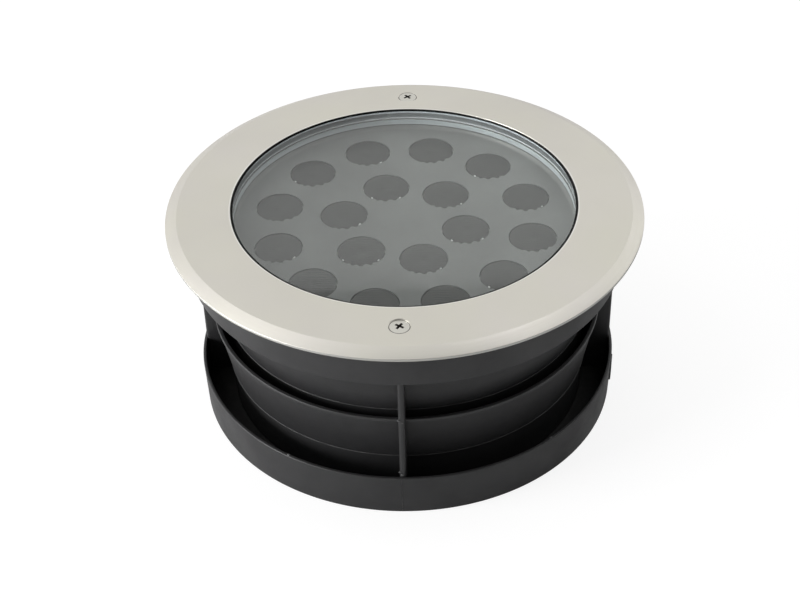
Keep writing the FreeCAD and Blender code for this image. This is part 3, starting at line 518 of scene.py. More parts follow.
def lofted(foot, head):
    """Closed bmesh between two outlines of (x, y, z) corners in millimetres."""
    mesh = bmesh.new()
    low = [mesh.verts.new([MM * c for c in corner]) for corner in foot]
    high = [mesh.verts.new([MM * c for c in corner]) for corner in head]
    for k in range(len(low)):
        n = (k + 1) % len(low)
        mesh.faces.new((low[k], low[n], high[n], high[k]))
    mesh.faces.new(low)
    mesh.faces.new(high)
    bmesh.ops.recalc_face_normals(mesh, faces=mesh.faces)
    return mesh


def block(size, soft=0.0):
    """Block about the origin, its edges softened by a bevel, in millimetres."""
    mesh = bmesh.new()
    bmesh.ops.create_cube(mesh, size=1.0)
    bmesh.ops.scale(mesh, verts=mesh.verts, vec=[MM * side for side in size])
    if soft:
        bmesh.ops.bevel(mesh, geom=list(mesh.edges), offset=soft * MM, segments=2, affect="EDGES")
    return mesh


def bead(radius, stretch):
    """Small bead about the origin: a ball in millimetres, stretched along its axes."""
    mesh = bmesh.new()
    bmesh.ops.create_icosphere(mesh, subdivisions=2, radius=radius * MM)
    bmesh.ops.scale(mesh, verts=mesh.verts, vec=stretch)
    return mesh


def smoothed(data, sharp):
    """Mesh shaded smooth, with edges sharper than an angle in degrees kept."""
    for face in data.polygons:
        face.use_smooth = True
    data.set_sharp_from_angle(angle=radians(sharp))


def made(mesh, name, material, sharp=38.0):
    """Object from a bmesh, shaded smooth with its real edges kept."""
    data = bpy.data.meshes.new(name)
    mesh.to_mesh(data)
    mesh.free()
    smoothed(data, sharp)
    data.materials.append(material)
    piece = bpy.data.objects.new(name, data)
    bpy.context.scene.collection.objects.link(piece)
    return piece


def joined(meshes):
    """One bmesh from several."""
    whole = meshes[0]
    for other in meshes[1:]:
        data = bpy.data.meshes.new("part")
        other.to_mesh(data)
        other.free()
        whole.from_mesh(data)
        bpy.data.meshes.remove(data)
    return whole


def moved(mesh, x=0.0, y=0.0, z=0.0):
    """The same bmesh shifted by millimetres."""
    bmesh.ops.translate(mesh, verts=mesh.verts, vec=(x * MM, y * MM, z * MM))
    return mesh


def spun(mesh, angle):
    """The same bmesh turned about Z by degrees."""
    turn = Matrix.Rotation(radians(angle), 3, "Z")
    bmesh.ops.rotate(mesh, verts=mesh.verts, cent=(0, 0, 0), matrix=turn)
    return mesh


def plain(piece, sharp):
    """Turns an object's modifiers into its mesh, shaded as made() shades."""
    graph = bpy.context.evaluated_depsgraph_get()
    data = bpy.data.meshes.new_from_object(piece.evaluated_get(graph))
    old = piece.data
    piece.modifiers.clear()
    piece.data = data
    bpy.data.meshes.remove(old)
    smoothed(data, sharp)


def carve(piece, cutters, sharp):
    """Cuts holes in a piece with closed bmeshes."""
    tools = []
    for number, cutter in enumerate(cutters):
        tool = made(cutter, "cutter_%d" % number, piece.data.materials[0])
        tools.append(tool)
        cut = piece.modifiers.new("hole_%d" % number, "BOOLEAN")
        cut.operation = "DIFFERENCE"
        cut.solver = "EXACT"
        cut.object = tool
    plain(piece, sharp)
    for tool in tools:
        bpy.data.objects.remove(tool)


def centres(piece):
    """Each face with its centre's radius and height in millimetres."""
    for face in piece.data.polygons:
        yield face, hypot(face.center.x, face.center.y) / MM, face.center.z / MM


def fit(piece, body, slot, *nodes):
    """Makes a piece ride on a body and hides the CAD nodes it stands for; slot is not used."""
    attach(piece, body)
    if nodes:
        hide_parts(*nodes)


# ---------------------------------------------------------------- repeats, by geometry nodes

def ring_of_units():
    """Tree that sets a unit on an outer and an inner ring and makes the copies real.

    Follow turns each copy with its place on the ring, and Spin adds a random turn of its own.
    """
    tree = bpy.data.node_groups.new("ring_of_units", "GeometryNodeTree")
    tree.interface.new_socket("Geometry", in_out="INPUT", socket_type="NodeSocketGeometry")
    wanted = (("Unit", "NodeSocketObject", None), ("Outer Count", "NodeSocketInt", 12),
              ("Outer Radius", "NodeSocketFloat", 0.0645), ("Outer Turn", "NodeSocketFloat", 0.0),
              ("Inner Count", "NodeSocketInt", 6), ("Inner Radius", "NodeSocketFloat", 0.031),
              ("Inner Turn", "NodeSocketFloat", 0.0), ("Follow", "NodeSocketFloat", 1.0),
              ("Spin", "NodeSocketFloat", 0.0), ("Seed", "NodeSocketInt", 3),
              ("Finish", "NodeSocketMaterial", None))
    for label, kind, value in wanted:
        socket = tree.interface.new_socket(label, in_out="INPUT", socket_type=kind)
        if value is not None:
            socket.default_value = value
    tree.interface.new_socket("Geometry", in_out="OUTPUT", socket_type="NodeSocketGeometry")
    source = tree.nodes.new("NodeGroupInput")
    sink = tree.nodes.new("NodeGroupOutput")
    unit = add(tree, "GeometryNodeObjectInfo", {"Object": source.outputs["Unit"]})
    rings = add(tree, "GeometryNodeJoinGeometry")
    for ring in ("Outer", "Inner"):
        line = add(tree, "GeometryNodePoints", {"Count": source.outputs[ring + " Count"]})
        index = add(tree, "GeometryNodeInputIndex").outputs[0]
        pitch = math(tree, "DIVIDE", 2 * pi, source.outputs[ring + " Count"])
        angle = math(tree, "MULTIPLY_ADD", index, pitch, source.outputs[ring + " Turn"])
        radius = source.outputs[ring + " Radius"]
        place = add(tree, "ShaderNodeCombineXYZ", {
            0: math(tree, "MULTIPLY", math(tree, "COSINE", angle), radius),
            1: math(tree, "MULTIPLY", math(tree, "SINE", angle), radius)})
        put = add(tree, "GeometryNodeSetPosition", {
            "Geometry": line.outputs[0], "Position": place.outputs[0]})
        wander = add(tree, "FunctionNodeRandomValue", {
            "ID": index, "Seed": source.outputs["Seed"]}, data_type="FLOAT")
        wander.inputs[2].default_value = 0.0
        wander.inputs[3].default_value = 1.0
        own = math(tree, "MULTIPLY", wander.outputs[1], source.outputs["Spin"])
        facing = math(tree, "MULTIPLY_ADD", angle, source.outputs["Follow"], own)
        turn = add(tree, "ShaderNodeCombineXYZ", {2: facing})
        copies = add(tree, "GeometryNodeInstanceOnPoints", {
            "Points": put.outputs[0], "Instance": unit.outputs["Geometry"],
            "Rotation": turn.outputs[0]})
        tree.links.new(copies.outputs[0], rings.inputs[0])
    real = add(tree, "GeometryNodeRealizeInstances", {0: rings.outputs[0]})
    finish = add(tree, "GeometryNodeSetMaterial", {
        "Geometry": real.outputs[0], "Material": source.outputs["Finish"]})
    tree.links.new(finish.outputs[0], sink.inputs[0])
    return tree


UNIT_RINGS = ring_of_units()


def repeated(name, unit, material, outer, inner=(0, 0.0, 0.0), follow=1.0, spin=0.0, seed=3,
             sharp=38.0):
    """Plain mesh of a unit repeated on one or two rings: (count, radius mm, turn degrees)."""
    empty = bpy.data.meshes.new(name)
    piece = bpy.data.objects.new(name, empty)
    bpy.context.scene.collection.objects.link(piece)
    source = made(unit, name + "_unit", material, sharp)
    modifier = piece.modifiers.new("rings", "NODES")
    modifier.node_group = UNIT_RINGS
    inputs = {"Unit": source, "Follow": follow, "Spin": spin, "Seed": seed, "Finish": material}
    for ring, (count, radius, turn) in (("Outer", outer), ("Inner", inner)):
        inputs[ring + " Count"] = count
        inputs[ring + " Radius"] = radius * MM
        inputs[ring + " Turn"] = radians(turn)
    for item in UNIT_RINGS.interface.items_tree:
        if item.in_out == "INPUT" and item.name in inputs:
            modifier[item.identifier] = inputs[item.name]
    plain(piece, sharp)
    bpy.data.objects.remove(source)
    return piece


# ---------------------------------------------------------------- face of the lamp

def cone_cutter():
    """Cutter for one countersunk hole on +Y, with a small chamfer at its mouth."""
    mouth, narrow = SINK_R + 0.35, SINK_R - (SCREW_EDGE - RING_UNDER)
    above, below = SCREW_FACE + 0.6, RING_UNDER - 1.0
    profile = [(0.0, above), (mouth, above), (mouth, SCREW_FACE + 0.05), (SINK_R, SCREW_FACE - 0.3),
               (SINK_R, SCREW_EDGE), (narrow, RING_UNDER), (narrow, below), (0.0, below)]
    return moved(lathe(profile, 64), y=SCREW_RING)


def face_ring():
    """Pressed ring: round eye edge, face that falls a little outward, bevel, short upright rim; a
    painted highlight band at the eye, painted shade on the rim and in the countersinks.
    """
    bevel, rim, painted_shade, edge_highlight = 1, 2, 3, 4
    profile = rounded([
        (RING_EYE, RING_UNDER, 0.2), (RING_EYE, RING_TOP, 0.25),
        (RING_EYE + LIP_BAND, RING_TOP - 0.03, 0.0), (FACE_R, FACE_Z, 0.35),
        (RING_R, BEVEL_FOOT, 0.3), (RING_R, RIM_FOOT, 0.2),
        (RIM_IN, RIM_FOOT, 0.2), (BEND_R, RING_UNDER, 0.5)])
    ring = made(lathe(profile, 256), "face_ring_turned", SATIN_STEEL)
    ring.data.materials.append(BEVEL_STEEL)
    ring.data.materials.append(RIM_SHADE_STEEL)
    for face, radius, _ in centres(ring):
        # the bevel takes its rougher steel, the sideways-facing rim a darker copy: painted shade
        if radius > FACE_R - 0.2 and face.normal.z > -0.05:
            face.material_index = bevel if face.normal.z > 0.6 else rim
    carve(ring, [cone_cutter(), spun(cone_cutter(), 180.0)], 30.0)
    ring.data.materials.append(PAINTED_SHADE_STEEL)
    ring.data.materials.append(EYE_HIGHLIGHT_STEEL)
    # a band at the eye's edge takes the bright copy: painted highlight
    for face, radius, z in centres(ring):
        if radius < RING_EYE + LIP_BAND and face.normal.z > 0.5:
            face.material_index = edge_highlight
        # countersink walls below the face take the dark steel: painted shade
        x, y = face.center.x / MM, face.center.y / MM
        if hypot(x, abs(y) - SCREW_RING) < SINK_R + 0.05 and z < SCREW_FACE - 0.6:
            face.material_index = painted_shade
    fit(ring, "lamp", "face_ring", "face_ring")


def stepped_glass():
    """Stepped glass with polished faces, a ground step and a ground rim."""
    step, rim = 1, 2
    profile = rounded([
        (0.0, GLASS_UNDER, 0.0), (GLASS_RIM_R, GLASS_UNDER, 0.6),
        (GLASS_RIM_R, GLASS_SHOULDER, 0.4), (GLASS_R, GLASS_SHOULDER, 0.3),
        (GLASS_R, GLASS_TOP, 0.6), (0.0, GLASS_TOP, 0.0)])
    glass = made(lathe(profile), "stepped_glass", CLEAR_GLASS, 20.0)
    glass.data.materials.append(GROUND_EDGE)
    glass.data.materials.append(GROUND_RIM)
    for face, radius, _ in centres(glass):
        if abs(face.normal.z) < 0.35 and radius > GLASS_R - 1.0:
            face.material_index = rim if radius > GLASS_R + 1.0 else step
    fit(glass, "lamp", "glass_lens", "glass_lens")


def gasket():
    """Black seal: rounded lip in the ring's eye, flange and skirt; its upstand up the eye wall is
    black put there as painted shade of that wall.
    """
    step, rim = GLASS_R + 0.05, GLASS_RIM_R + 0.05
    # lip: top of the upstand up the ring's eye wall, black seal standing in for the wall's shade,
    # painted shade
    lip, foot = RING_TOP - 0.22, GLASS_TOP - 0.35
    profile = rounded([
        (step, GLASS_SHOULDER, 0.1), (rim, GLASS_SHOULDER, 0.1), (rim, SEAT_Z, 0.1),
        (SEAL_EDGE, SEAT_Z, 0.3), (SEAL_EDGE, RING_UNDER, 0.3),
        (RING_EYE - 0.03, RING_UNDER, 0.1), (RING_EYE - 0.03, lip, 0.02),
        (RING_EYE - 0.38, lip, 0.05), (RING_EYE - 0.42, foot, 0.1), (step, foot, 0.15)])
    seal = made(lathe(profile), "black_gasket", BLACK_SILICONE)
    fit(seal, "lamp", "glass_gasket", "glass_gasket")


def seat_seal():
    """Grey flat seal under the glass."""
    profile = rounded([
        (SEAL_IN, SEAT_Z, 0.3), (GLASS_RIM_R, SEAT_Z, 0.3), (GLASS_RIM_R, GLASS_UNDER, 0.1),
        (SEAL_IN, GLASS_UNDER, 0.1)])
    seal = made(lathe(profile), "grey_seat_seal", GREY_SILICONE)
    fit(seal, "lamp", "glass_seat_seal", "glass_seat_seal")


def recess_bar(turn):
    """Cutter for one bar of the cross recess, tapered towards its foot."""
    rows = []
    for z, length, width in ((SCREW_TOP + 0.3, 2.5, 0.66), (SCREW_TOP - 2.1, 1.15, 0.42)):
        rows.append([(-length, -width, z), (length, -width, z), (length, width, z),
                     (-length, width, z)])
    return spun(lofted(*rows), turn)


def countersunk(name, turn, side, node, body):
    """Countersunk screw with a low crown, a tapered cross recess and a ringed thread."""
    painted_shade = 1
    top, head, shank = SCREW_TOP, SCREW_HEAD_R, SCREW_R
    neck = SCREW_EDGE - (head - shank)
    outline = [(0.0, top), (1.6, top - 0.03), (2.9, top - 0.14), (3.8, top - 0.30),
               (4.35, top - 0.48), (head, SCREW_EDGE + 0.12), (head, SCREW_EDGE), (shank, neck)]
    z = neck - 1.2
    while z > SCREW_TIP + 1.4:
        outline += [(shank, z), (shank - THREAD_DEPTH, z - THREAD_PITCH / 2)]
        z -= THREAD_PITCH
    outline += [(shank - 0.1, z), (shank - 0.9, SCREW_TIP), (0.0, SCREW_TIP)]
    screw = made(lathe(outline, 48), name, SCREW_STEEL, 25.0)
    carve(screw, [recess_bar(turn), recess_bar(turn + 90.0)], 25.0)
    screw.data.materials.append(PAINTED_SHADE_STEEL)
    # cross recess and the faces under the head take the dark steel: painted shade
    for face, radius, z in centres(screw):
        in_recess = radius < 2.6 and neck + 0.5 < z < top - 0.2
        under_head = radius > head - 0.15 and z < SCREW_EDGE + 0.1
        if in_recess or under_head:
            face.material_index = painted_shade
    screw.data.transform(Matrix.Translation((0.0, side * SCREW_RING * MM, 0.0)))
    fit(screw, body, node, node)


# ---------------------------------------------------------------- light engine under the glass

def holder_cup():
    """Black cup of one optic, with three snap tabs round its wall."""
    inner = HOLDER_R - HOLDER_WALL
    rim = HOLDER_TOP - OPTIC_FLANGE - 0.1
    profile = rounded([
        (HOLDER_EYE, BOARD_TOP, 0.0), (HOLDER_R, BOARD_TOP, 0.2), (HOLDER_R, rim, 0.2),
        (inner, rim, 0.2), (inner, rim - LENS_STEP, 0.2), (HOLDER_EYE, HOLDER_FOOT, 0.0)])
    tabs = [spun(moved(block((0.5, 2.6, 4.0), 0.12), x=HOLDER_R, z=rim - 4.0), angle)
            for angle in (20.0, 140.0, 260.0)]
    return joined([lathe(profile, 48)] + tabs)


def optic():
    """Optic: flange just under the tray's face, shallow dip, a gate mark off centre."""
    top = HOLDER_TOP
    flange = HOLDER_R - 0.05
    throat = HOLDER_R - HOLDER_WALL - 0.1
    under = top - OPTIC_FLANGE
    dip = [(0.0, top - 0.30), (1.2, top - 0.26), (2.2, top - 0.12), (2.9, top - 0.02), (5.4, top)]
    edge = [(flange - 0.3, top), (flange - 0.06, top - 0.08), (flange, top - 0.3), (flange, under)]
    cone = [(throat, under), (throat, under - LENS_STEP + 0.1), (HOLDER_EYE - 0.1, OPTIC_FOOT)]
    hollow = [(2.2, OPTIC_FOOT), (1.9, 85.4), (0.0, 86.2)]
    body = lathe(dip + edge + cone + hollow, 64)
    gate = lathe([(0.0, top + 0.02), (0.5, top + 0.02), (0.62, top - 0.1), (0.62, top - 0.3),
                  (0.0, top - 0.3)], 12)
    return joined([body, moved(gate, x=1.6, y=3.4)])


def edge_nibs():
    """Four little nibs of the tray that hold an optic's front edge."""
    low, high = TRAY_TOP - 0.15, TRAY_TOP - 0.02
    nibs = []
    for angle, size, reach in ((-126.0, 1.1, 0.95), (-108.0, 1.5, 1.1), (-84.0, 1.8, 1.45),
                               (-62.0, 1.3, 1.05)):
        nib = lathe(rounded([(0.0, low, 0.0), (size, low, 0.0), (size, high, 0.05),
                             (0.0, high, 0.0)]), 20)
        nibs.append(spun(moved(nib, x=HOLE_R + size - reach), angle))
    return joined(nibs)


def tray_band():
    """Pale band on the upright wall of the tray with a dark line in the ledge under it, painted
    shade.
    """
    wall, head, foot = TRAY_IN + 0.05, SEAT_Z - 0.3, LEDGE_Z - 0.75
    band = made(lathe(rounded([
        (TRAY_IN - 0.2, LEDGE_Z, 0.02), (TRAY_IN - 0.12, head, 0.05), (wall, head, 0.0),
        (wall, LEDGE_Z, 0.0)])), "tray_band", PALE_ENAMEL)
    fit(band, "lamp", "optic_tray")
    # a real small groove in the ledge, its dark colour painted shade
    line = made(lathe([
        (wall, LEDGE_Z), (wall, foot), (TRAY_IN - 0.1, foot), (TRAY_IN - 0.3, LEDGE_Z - 0.35),
        (TRAY_IN - 0.3, LEDGE_Z)]), "tray_ledge_line", LEDGE_SHADE_GREY)
    fit(line, "lamp", "optic_tray")


def glint_tip(angle):
    """White bead beside an optic's front edge, shaped as the tip of a snap hook: a painted glint.
    """
    tip = bead(0.5, (0.8, 1.4, 0.7))
    return spun(moved(tip, x=HOLE_R - 0.5, z=TRAY_TOP + 0.1), angle)


def light_engine():
    """Tray's band, and on two rings the cups, optics, nibs and white beads as painted glints."""
    tray_band()
    outer = (12, OUTER_RING, LENS_TURN)
    inner = (6, INNER_RING, LENS_TURN + 30.0)
    cups = repeated("optic_cups", holder_cup(), HOLDER_BLACK, outer, inner, spin=2.1, seed=5)
    fit(cups, "lamp", "lens_holders", "lens_holders")
    optics = repeated("clear_optics", optic(), SMOKED_OPTIC, outer, inner, follow=0.0, spin=0.16,
                      seed=5, sharp=30.0)
    fit(optics, "lamp", "lenses", "lenses")
    nibs = repeated("tray_nibs", edge_nibs(), TRAY_GREY, outer, inner, follow=0.0, spin=0.3, seed=8)
    fit(nibs, "lamp", "optic_tray")
    # white beads at the optics' front edges: painted glints
    right = repeated("clip_tips_right", glint_tip(-57.0), GLINT_WHITE, (4, OUTER_RING, LENS_TURN),
                     inner, follow=0.0, spin=0.3, seed=11)
    fit(right, "lamp", "optic_tray")
    left = repeated("clip_tips_left", glint_tip(-141.0), GLINT_WHITE,
                    (4, OUTER_RING, LENS_TURN + 30.0), (3, INNER_RING, LENS_TURN + 90.0),
                    follow=0.0, spin=0.3, seed=12)
    fit(left, "lamp", "optic_tray")


# ---------------------------------------------------------------- sleeve

def rib_plate():
    """One radial rib of the sleeve, its outer edge rounded."""
    corners = [(WELL_CORE, 0.0), (RIB_R - SKIRT_TAPER, 0.0), (RIB_R, SKIRT_H), (RIB_R, RIB_HEAD),
               (UPPER_HEAD_R - 1.0, RIB_HEAD), (WELL_CORE, UPPER_FOOT_Z)]
    mesh = lofted(*([(r, side * RIB_T / 2, z) for r, z in corners] for side in (-1, 1)))
    outer = []
    for edge in mesh.edges:
        one, other = (vert.co / MM for vert in edge.verts)
        if min(one.x, other.x) > RIB_R - 1.0 and abs(one.z - other.z) > 1.0:
            outer.append(edge)
    bmesh.ops.bevel(mesh, geom=outer, offset=1.4 * MM, segments=5, affect="EDGES", profile=0.5)
    return mesh


# radius, angle in degrees, height and size of each nub of flash
NUBS = (
    (RIB_R - 0.15, -90.7, 59.4, 0.7), (RIB_R - 0.2, -89.8, 58.0, 0.45),
    (RIB_R - 0.2, -90.7, 26.0, 0.6), (RIB_R - 0.15, -90.1, 24.4, 0.75),
    (SKIRT_R - 1.0, -121.5, SKIRT_H - 0.15, 0.9), (SKIRT_R - 1.1, -47.7, SKIRT_H - 0.2, 0.7),
    (LIP_R - 0.7, -131.0, LIP_Z - 0.2, 0.5), (RIB_R - 0.2, 90.4, 44.0, 0.5),
    (RIB_R - 0.2, 179.6, 61.0, 0.5),
)


def flash_marks():
    """What the mould leaves: nubs on ribs, lip and the skirt's rim, and two parting lines."""
    marks = [spun(moved(bead(size, (0.8, 1.25, 0.7)), x=r, z=z), angle)
             for r, angle, z, size in NUBS]
    section = ((-0.6, -0.16), (0.13, 0.0), (-0.6, 0.16))
    for angle in (-90.3, 89.7):
        line = lofted([(x, y, 0.6) for x, y in section],
                      [(x + SKIRT_TAPER, y, SKIRT_H - 0.6) for x, y in section])
        marks.append(spun(moved(line, x=SKIRT_R - SKIRT_TAPER), angle))
    return joined(marks)


def gate_pad():
    """Flat pad on the skirt where the mould is filled."""
    return spun(moved(block((1.2, 6.5, 13.0), 0.25), x=SKIRT_R - 0.25, z=15.2), -9.0)


def sleeve_wall():
    """Collar, upper hoop, well wall, floor and skirt in one profile."""
    profile = rounded([
        (COLLAR_R, SHELF_Z, 0.5), (COLLAR_R, COLLAR_Z, 0.5), (COLLAR_IN, COLLAR_Z, 0.4),
        (COLLAR_IN, SHELF_Z + SHELF_T, 0.8), (SHELF_IN, SHELF_Z + SHELF_T, 0.6),
        (SHELF_IN, SHELF_Z, 0.0), (WELL_IN, UPPER_FOOT_Z, 1.0), (WELL_IN, 0.0, 0.3),
        (SKIRT_R - SKIRT_TAPER, 0.0, 0.3), (SKIRT_R, SKIRT_H, 0.55), (SKIRT_IN, SKIRT_H, 0.45),
        (SKIRT_IN - SKIRT_TAPER, FLOOR_T, 1.2), (WELL_R, FLOOR_T, 1.2), (WELL_R, UPPER_FOOT_Z, 0.3),
        (UPPER_FOOT_R + FLASH, UPPER_FOOT_Z, 0.08),
        (UPPER_FOOT_R + FLASH, UPPER_FOOT_Z + 0.35, 0.08),
        (UPPER_FOOT_R + 0.08, UPPER_FOOT_Z + 0.4, 0.0), (UPPER_HEAD_R, SHELF_Z, 0.8)])
    return lathe(profile, 256)


def middle_hoop():
    """Tapered middle hoop that rises from the well wall, with beads at its foot and lip."""
    profile = rounded([
        (MID_FOOT_R + FLASH, MID_FOOT_Z, 0.1), (MID_FOOT_R + FLASH, MID_FOOT_Z + 0.45, 0.1),
        (MID_FOOT_R + 0.1, MID_FOOT_Z + 0.5, 0.0), (LIP_R - 0.75, LIP_Z - 2.0, 0.1),
        (LIP_R, LIP_Z - 1.7, 0.3), (LIP_R, LIP_Z, 0.4), (LIP_IN, LIP_Z, 0.4),
        (WELL_CORE, MID_FOOT_Z + 1.8, 0.0), (WELL_CORE, MID_FOOT_Z, 0.0)])
    return lathe(profile, 256)


def boss():
    """Screw boss on +Y with the pocket of its insert."""
    seat = COLLAR_Z - INSERT_DEPTH
    profile = rounded([
        (0.0, SHELF_Z, 0.0), (BOSS_R, SHELF_Z, 0.3), (BOSS_R, COLLAR_Z, 0.3),
        (INSERT_R, COLLAR_Z, 0.1), (INSERT_R, seat, 0.0), (PILOT_R, seat, 0.0),
        (PILOT_R, PILOT_END, 0.0), (0.0, PILOT_END, 0.0)])
    return moved(lathe(profile, 40), y=SCREW_RING)


def boss_web():
    """Web on +Y between a screw boss and the collar."""
    low, high = SHELF_Z + 1.0, COLLAR_Z - 0.2
    near, far = SCREW_RING + 4.2, COLLAR_IN + 1.6
    web = block((3.0, far - near, high - low))
    return moved(web, y=(near + far) / 2, z=(low + high) / 2)


def embedding_sleeve():
    """The whole black moulding, darker in the skirt's gutter as painted shade."""
    gutter_shade = 1
    parts = [sleeve_wall(), middle_hoop(), boss(), spun(boss(), 180.0), boss_web(),
             spun(boss_web(), 180.0)]
    shell = made(joined(parts), "embedding_sleeve", BLACK_MOULDING)
    shell.data.materials.append(GUTTER_SHADE_BLACK)
    # faces in the gutter between well wall and skirt take the darker copy: painted shade
    for face, radius, z in centres(shell):
        if WELL_R - 0.1 < radius < SKIRT_IN + 0.05 and 1.0 < z < SKIRT_H - 0.5:
            face.material_index = gutter_shade
    ribs = repeated("sleeve_ribs", rib_plate(), BLACK_MOULDING, (4, 0.0, 0.0))
    flash = made(flash_marks(), "sleeve_flash", RUBBED_MOULDING, 30.0)
    pad = made(gate_pad(), "sleeve_gate_pad", BLACK_MOULDING, 30.0)
    for piece in (shell, ribs, flash, pad):
        fit(piece, "sleeve", "mounting_sleeve", "mounting_sleeve")


# ---------------------------------------------------------------- finish of every CAD node

FINISHES = {
    "sleeve_inserts": BRASS, "sleeve_seal": BLACK_FOAM, "ring_studs": SCREW_STEEL,
    "ring_screws": SCREW_STEEL, "lamp_housing": BLACK_CASTING, "optic_tray": TRAY_GREY,
    "led_emitters": PHOSPHOR, "led_board": BOARD_WHITE, "thermal_pad": PAD_GREY,
    "board_screws": SCREW_STEEL, "driver_case": DRIVER_CASE, "driver_screws": SCREW_STEEL,
    "terminal_block": WHITE_NYLON, "terminal_screw": SCREW_STEEL, "earth_screw": BRASS,
    "led_leads": RED_SLEEVING, "supply_leads": BLUE_SLEEVING, "lead_grommet": BLACK_RUBBER,
    "base_cover": BLACK_CASTING, "base_gasket": RED_SILICONE, "base_screws": SCREW_STEEL,
    "gland_body": BLACK_NYLON, "gland_washer": BLACK_RUBBER, "gland_locknut": BLACK_NYLON,
    "gland_insert": BLACK_RUBBER, "gland_cap": BLACK_NYLON, "face_ring": SATIN_STEEL,
    "glass_lens": CLEAR_GLASS, "glass_gasket": BLACK_SILICONE, "glass_seat_seal": GREY_SILICONE,
    "lens_holders": HOLDER_BLACK, "lenses": SMOKED_OPTIC, "mounting_sleeve": BLACK_MOULDING,
    "face_screw_back": SCREW_STEEL, "face_screw_front": SCREW_STEEL,
}


def dress_nodes():
    """Gives each CAD node its finish."""
    for name, material in FINISHES.items():
        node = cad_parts[name]
        for slot in node.material_slots:
            slot.material = material


# ---------------------------------------------------------------- stage, light and camera

# floor: reach in metres, drop in millimetres
FLOOR_REACH = 6.0
FLOOR_DROP = 0.02
FLOOR_WHITE = 0.86
FLOOR_GLOW = 1.22
GLOW_SHARE = 0.68

# sky's strength, and lamps: name, place and size in metres, power in watts
SKY_DIM = 0.10
SKY_BRIGHT = 0.74
LAMPS = (
    ("left_key", (-1.25, -0.50, 0.32), (0.7, 0.5), 19.0),
    ("upper_left", (-0.60, 0.10, 1.08), (0.35, 0.35), 0.55),
    ("upper_right", (0.48, 0.02, 1.05), (0.35, 0.35), 0.65),
    ("right_front", (1.0, -0.75, 0.45), (0.6, 0.5), 0.8),
    ("right_back", (0.85, 0.66, 0.58), (0.45, 0.45), 0.35),
)
LAMP_TARGET = (0.0, 0.0, 0.06)

# camera: degrees, millimetres, and the focal length in pixels of an image 800 wide
CAMERA_RAISED = 38.005
CAMERA_ROLL = 1.594
CAMERA_TURN = 2.25
CAMERA_PLACE = (-3.35, -649.12, 554.79)
FOCAL_PIXELS = 1561.8
IMAGE_WIDTH = 800.0
SENSOR_WIDTH = 36.0


def floor_material():
    """Matt white that keeps the shadow, lifted for the camera and see-through from below."""
    material, tree, shader = blank("pale_floor")
    shader.inputs["Base Color"].default_value = rgb((1.0, 1.0, 1.0), FLOOR_WHITE)
    shader.inputs["Roughness"].default_value = 0.9
    shader.inputs["Specular IOR Level"].default_value = 0.0
    light = add(tree, "ShaderNodeLightPath")
    glow = add(tree, "ShaderNodeEmission", {"Color": (1, 1, 1, 1), "Strength": FLOOR_GLOW})
    lifted = add(tree, "ShaderNodeMixShader", {
        0: GLOW_SHARE, 1: shader.outputs[0], 2: glow.outputs[0]})
    switch = add(tree, "ShaderNodeMixShader", {
        0: light.outputs["Is Camera Ray"], 1: shader.outputs[0], 2: lifted.outputs[0]})
    face = add(tree, "ShaderNodeNewGeometry")
    under = add(tree, "ShaderNodeBsdfTransparent")
    sided = add(tree, "ShaderNodeMixShader", {
        0: face.outputs["Backfacing"], 1: switch.outputs[0], 2: under.outputs[0]})
    tree.links.new(sided.outputs[0], tree.nodes["Material Output"].inputs["Surface"])
    return material


def floor():
    """Pale floor just under the foot of the sleeve."""
    mesh = bmesh.new()
    bmesh.ops.create_grid(mesh, x_segments=1, y_segments=1, size=FLOOR_REACH)
    stage = made(moved(mesh, z=-FLOOR_DROP), "floor", floor_material())


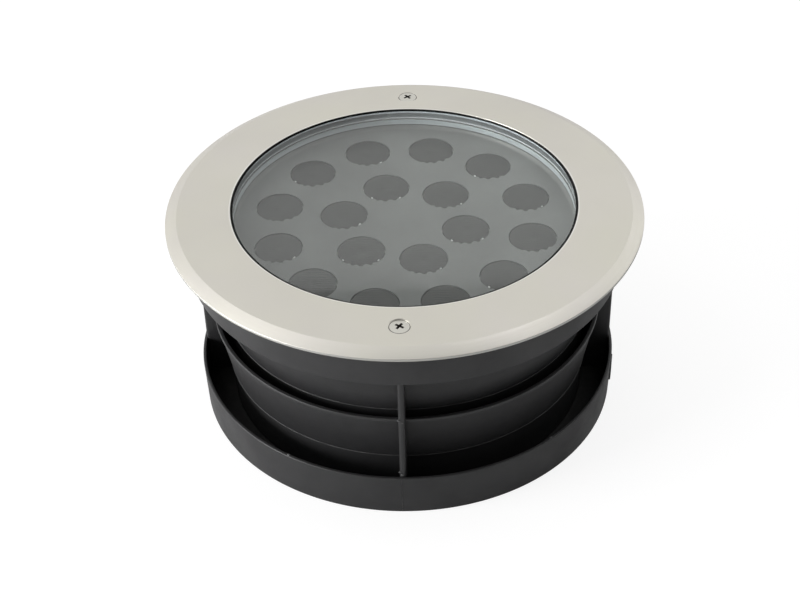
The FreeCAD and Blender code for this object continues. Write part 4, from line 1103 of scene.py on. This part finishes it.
def sky():
    """Studio surround: pale behind and above, dim towards the front right, white to the camera."""
    world = bpy.data.worlds.new("studio")
    bpy.context.scene.world = world
    world.use_nodes = True
    tree = world.node_tree
    back = tree.nodes["Background"]
    place = add(tree, "ShaderNodeTexCoord").outputs["Generated"]
    way = add(tree, "ShaderNodeSeparateXYZ", {0: place})
    depth = math(tree, "MULTIPLY_ADD", way.outputs[2], 0.25, way.outputs[1])
    depth = math(tree, "MULTIPLY_ADD", way.outputs[0], -0.35, depth)
    level = ranged(tree, depth, -0.60, 0.35, SKY_DIM, SKY_BRIGHT)
    light = add(tree, "ShaderNodeLightPath")
    strength = ranged(tree, light.outputs["Is Camera Ray"], 0.0, 1.0, level, 1.0)
    back.inputs["Color"].default_value = (1.0, 1.0, 1.0, 1.0)
    tree.links.new(strength, back.inputs["Strength"])


def softboxes():
    """White area lamps aimed at the well light."""
    for name, place, size, power in LAMPS:
        data = bpy.data.lights.new(name, "AREA")
        data.shape = "RECTANGLE"
        data.size, data.size_y = size
        data.energy = power
        lamp = bpy.data.objects.new(name, data)
        lamp.location = place
        aim = Vector(LAMP_TARGET) - Vector(place)
        lamp.rotation_euler = aim.to_track_quat("-Z", "Y").to_euler()
        bpy.context.scene.collection.objects.link(lamp)


def camera():
    """Camera at the photograph's angle, with its slight roll."""
    raised, roll = radians(CAMERA_RAISED), radians(CAMERA_ROLL)
    right = Vector((1.0, 0.0, 0.0))
    up = Vector((0.0, sin(raised), cos(raised)))
    ahead = Vector((0.0, cos(raised), -sin(raised)))
    across = cos(roll) * right - sin(roll) * up
    upward = sin(roll) * right + cos(roll) * up
    pose = Matrix((across, upward, -ahead)).transposed().to_4x4()
    pose.translation = Vector(CAMERA_PLACE) * MM
    data = bpy.data.cameras.new("view")
    data.sensor_width = SENSOR_WIDTH
    data.lens = FOCAL_PIXELS / IMAGE_WIDTH * SENSOR_WIDTH
    data.clip_start = 0.01
    view = bpy.data.objects.new("view", data)
    view.matrix_world = Matrix.Rotation(radians(CAMERA_TURN), 4, "Z") @ pose
    bpy.context.scene.collection.objects.link(view)
    bpy.context.scene.camera = view


bpy.context.scene.view_settings.view_transform = "Standard"
dress_nodes()
face_ring()
stepped_glass()
gasket()
seat_seal()
countersunk("back_screw", 38.0, 1, "face_screw_back", "screw_back")
countersunk("front_screw", 57.0, -1, "face_screw_front", "screw_front")
light_engine()
embedding_sleeve()
floor()
sky()
softboxes()
camera()
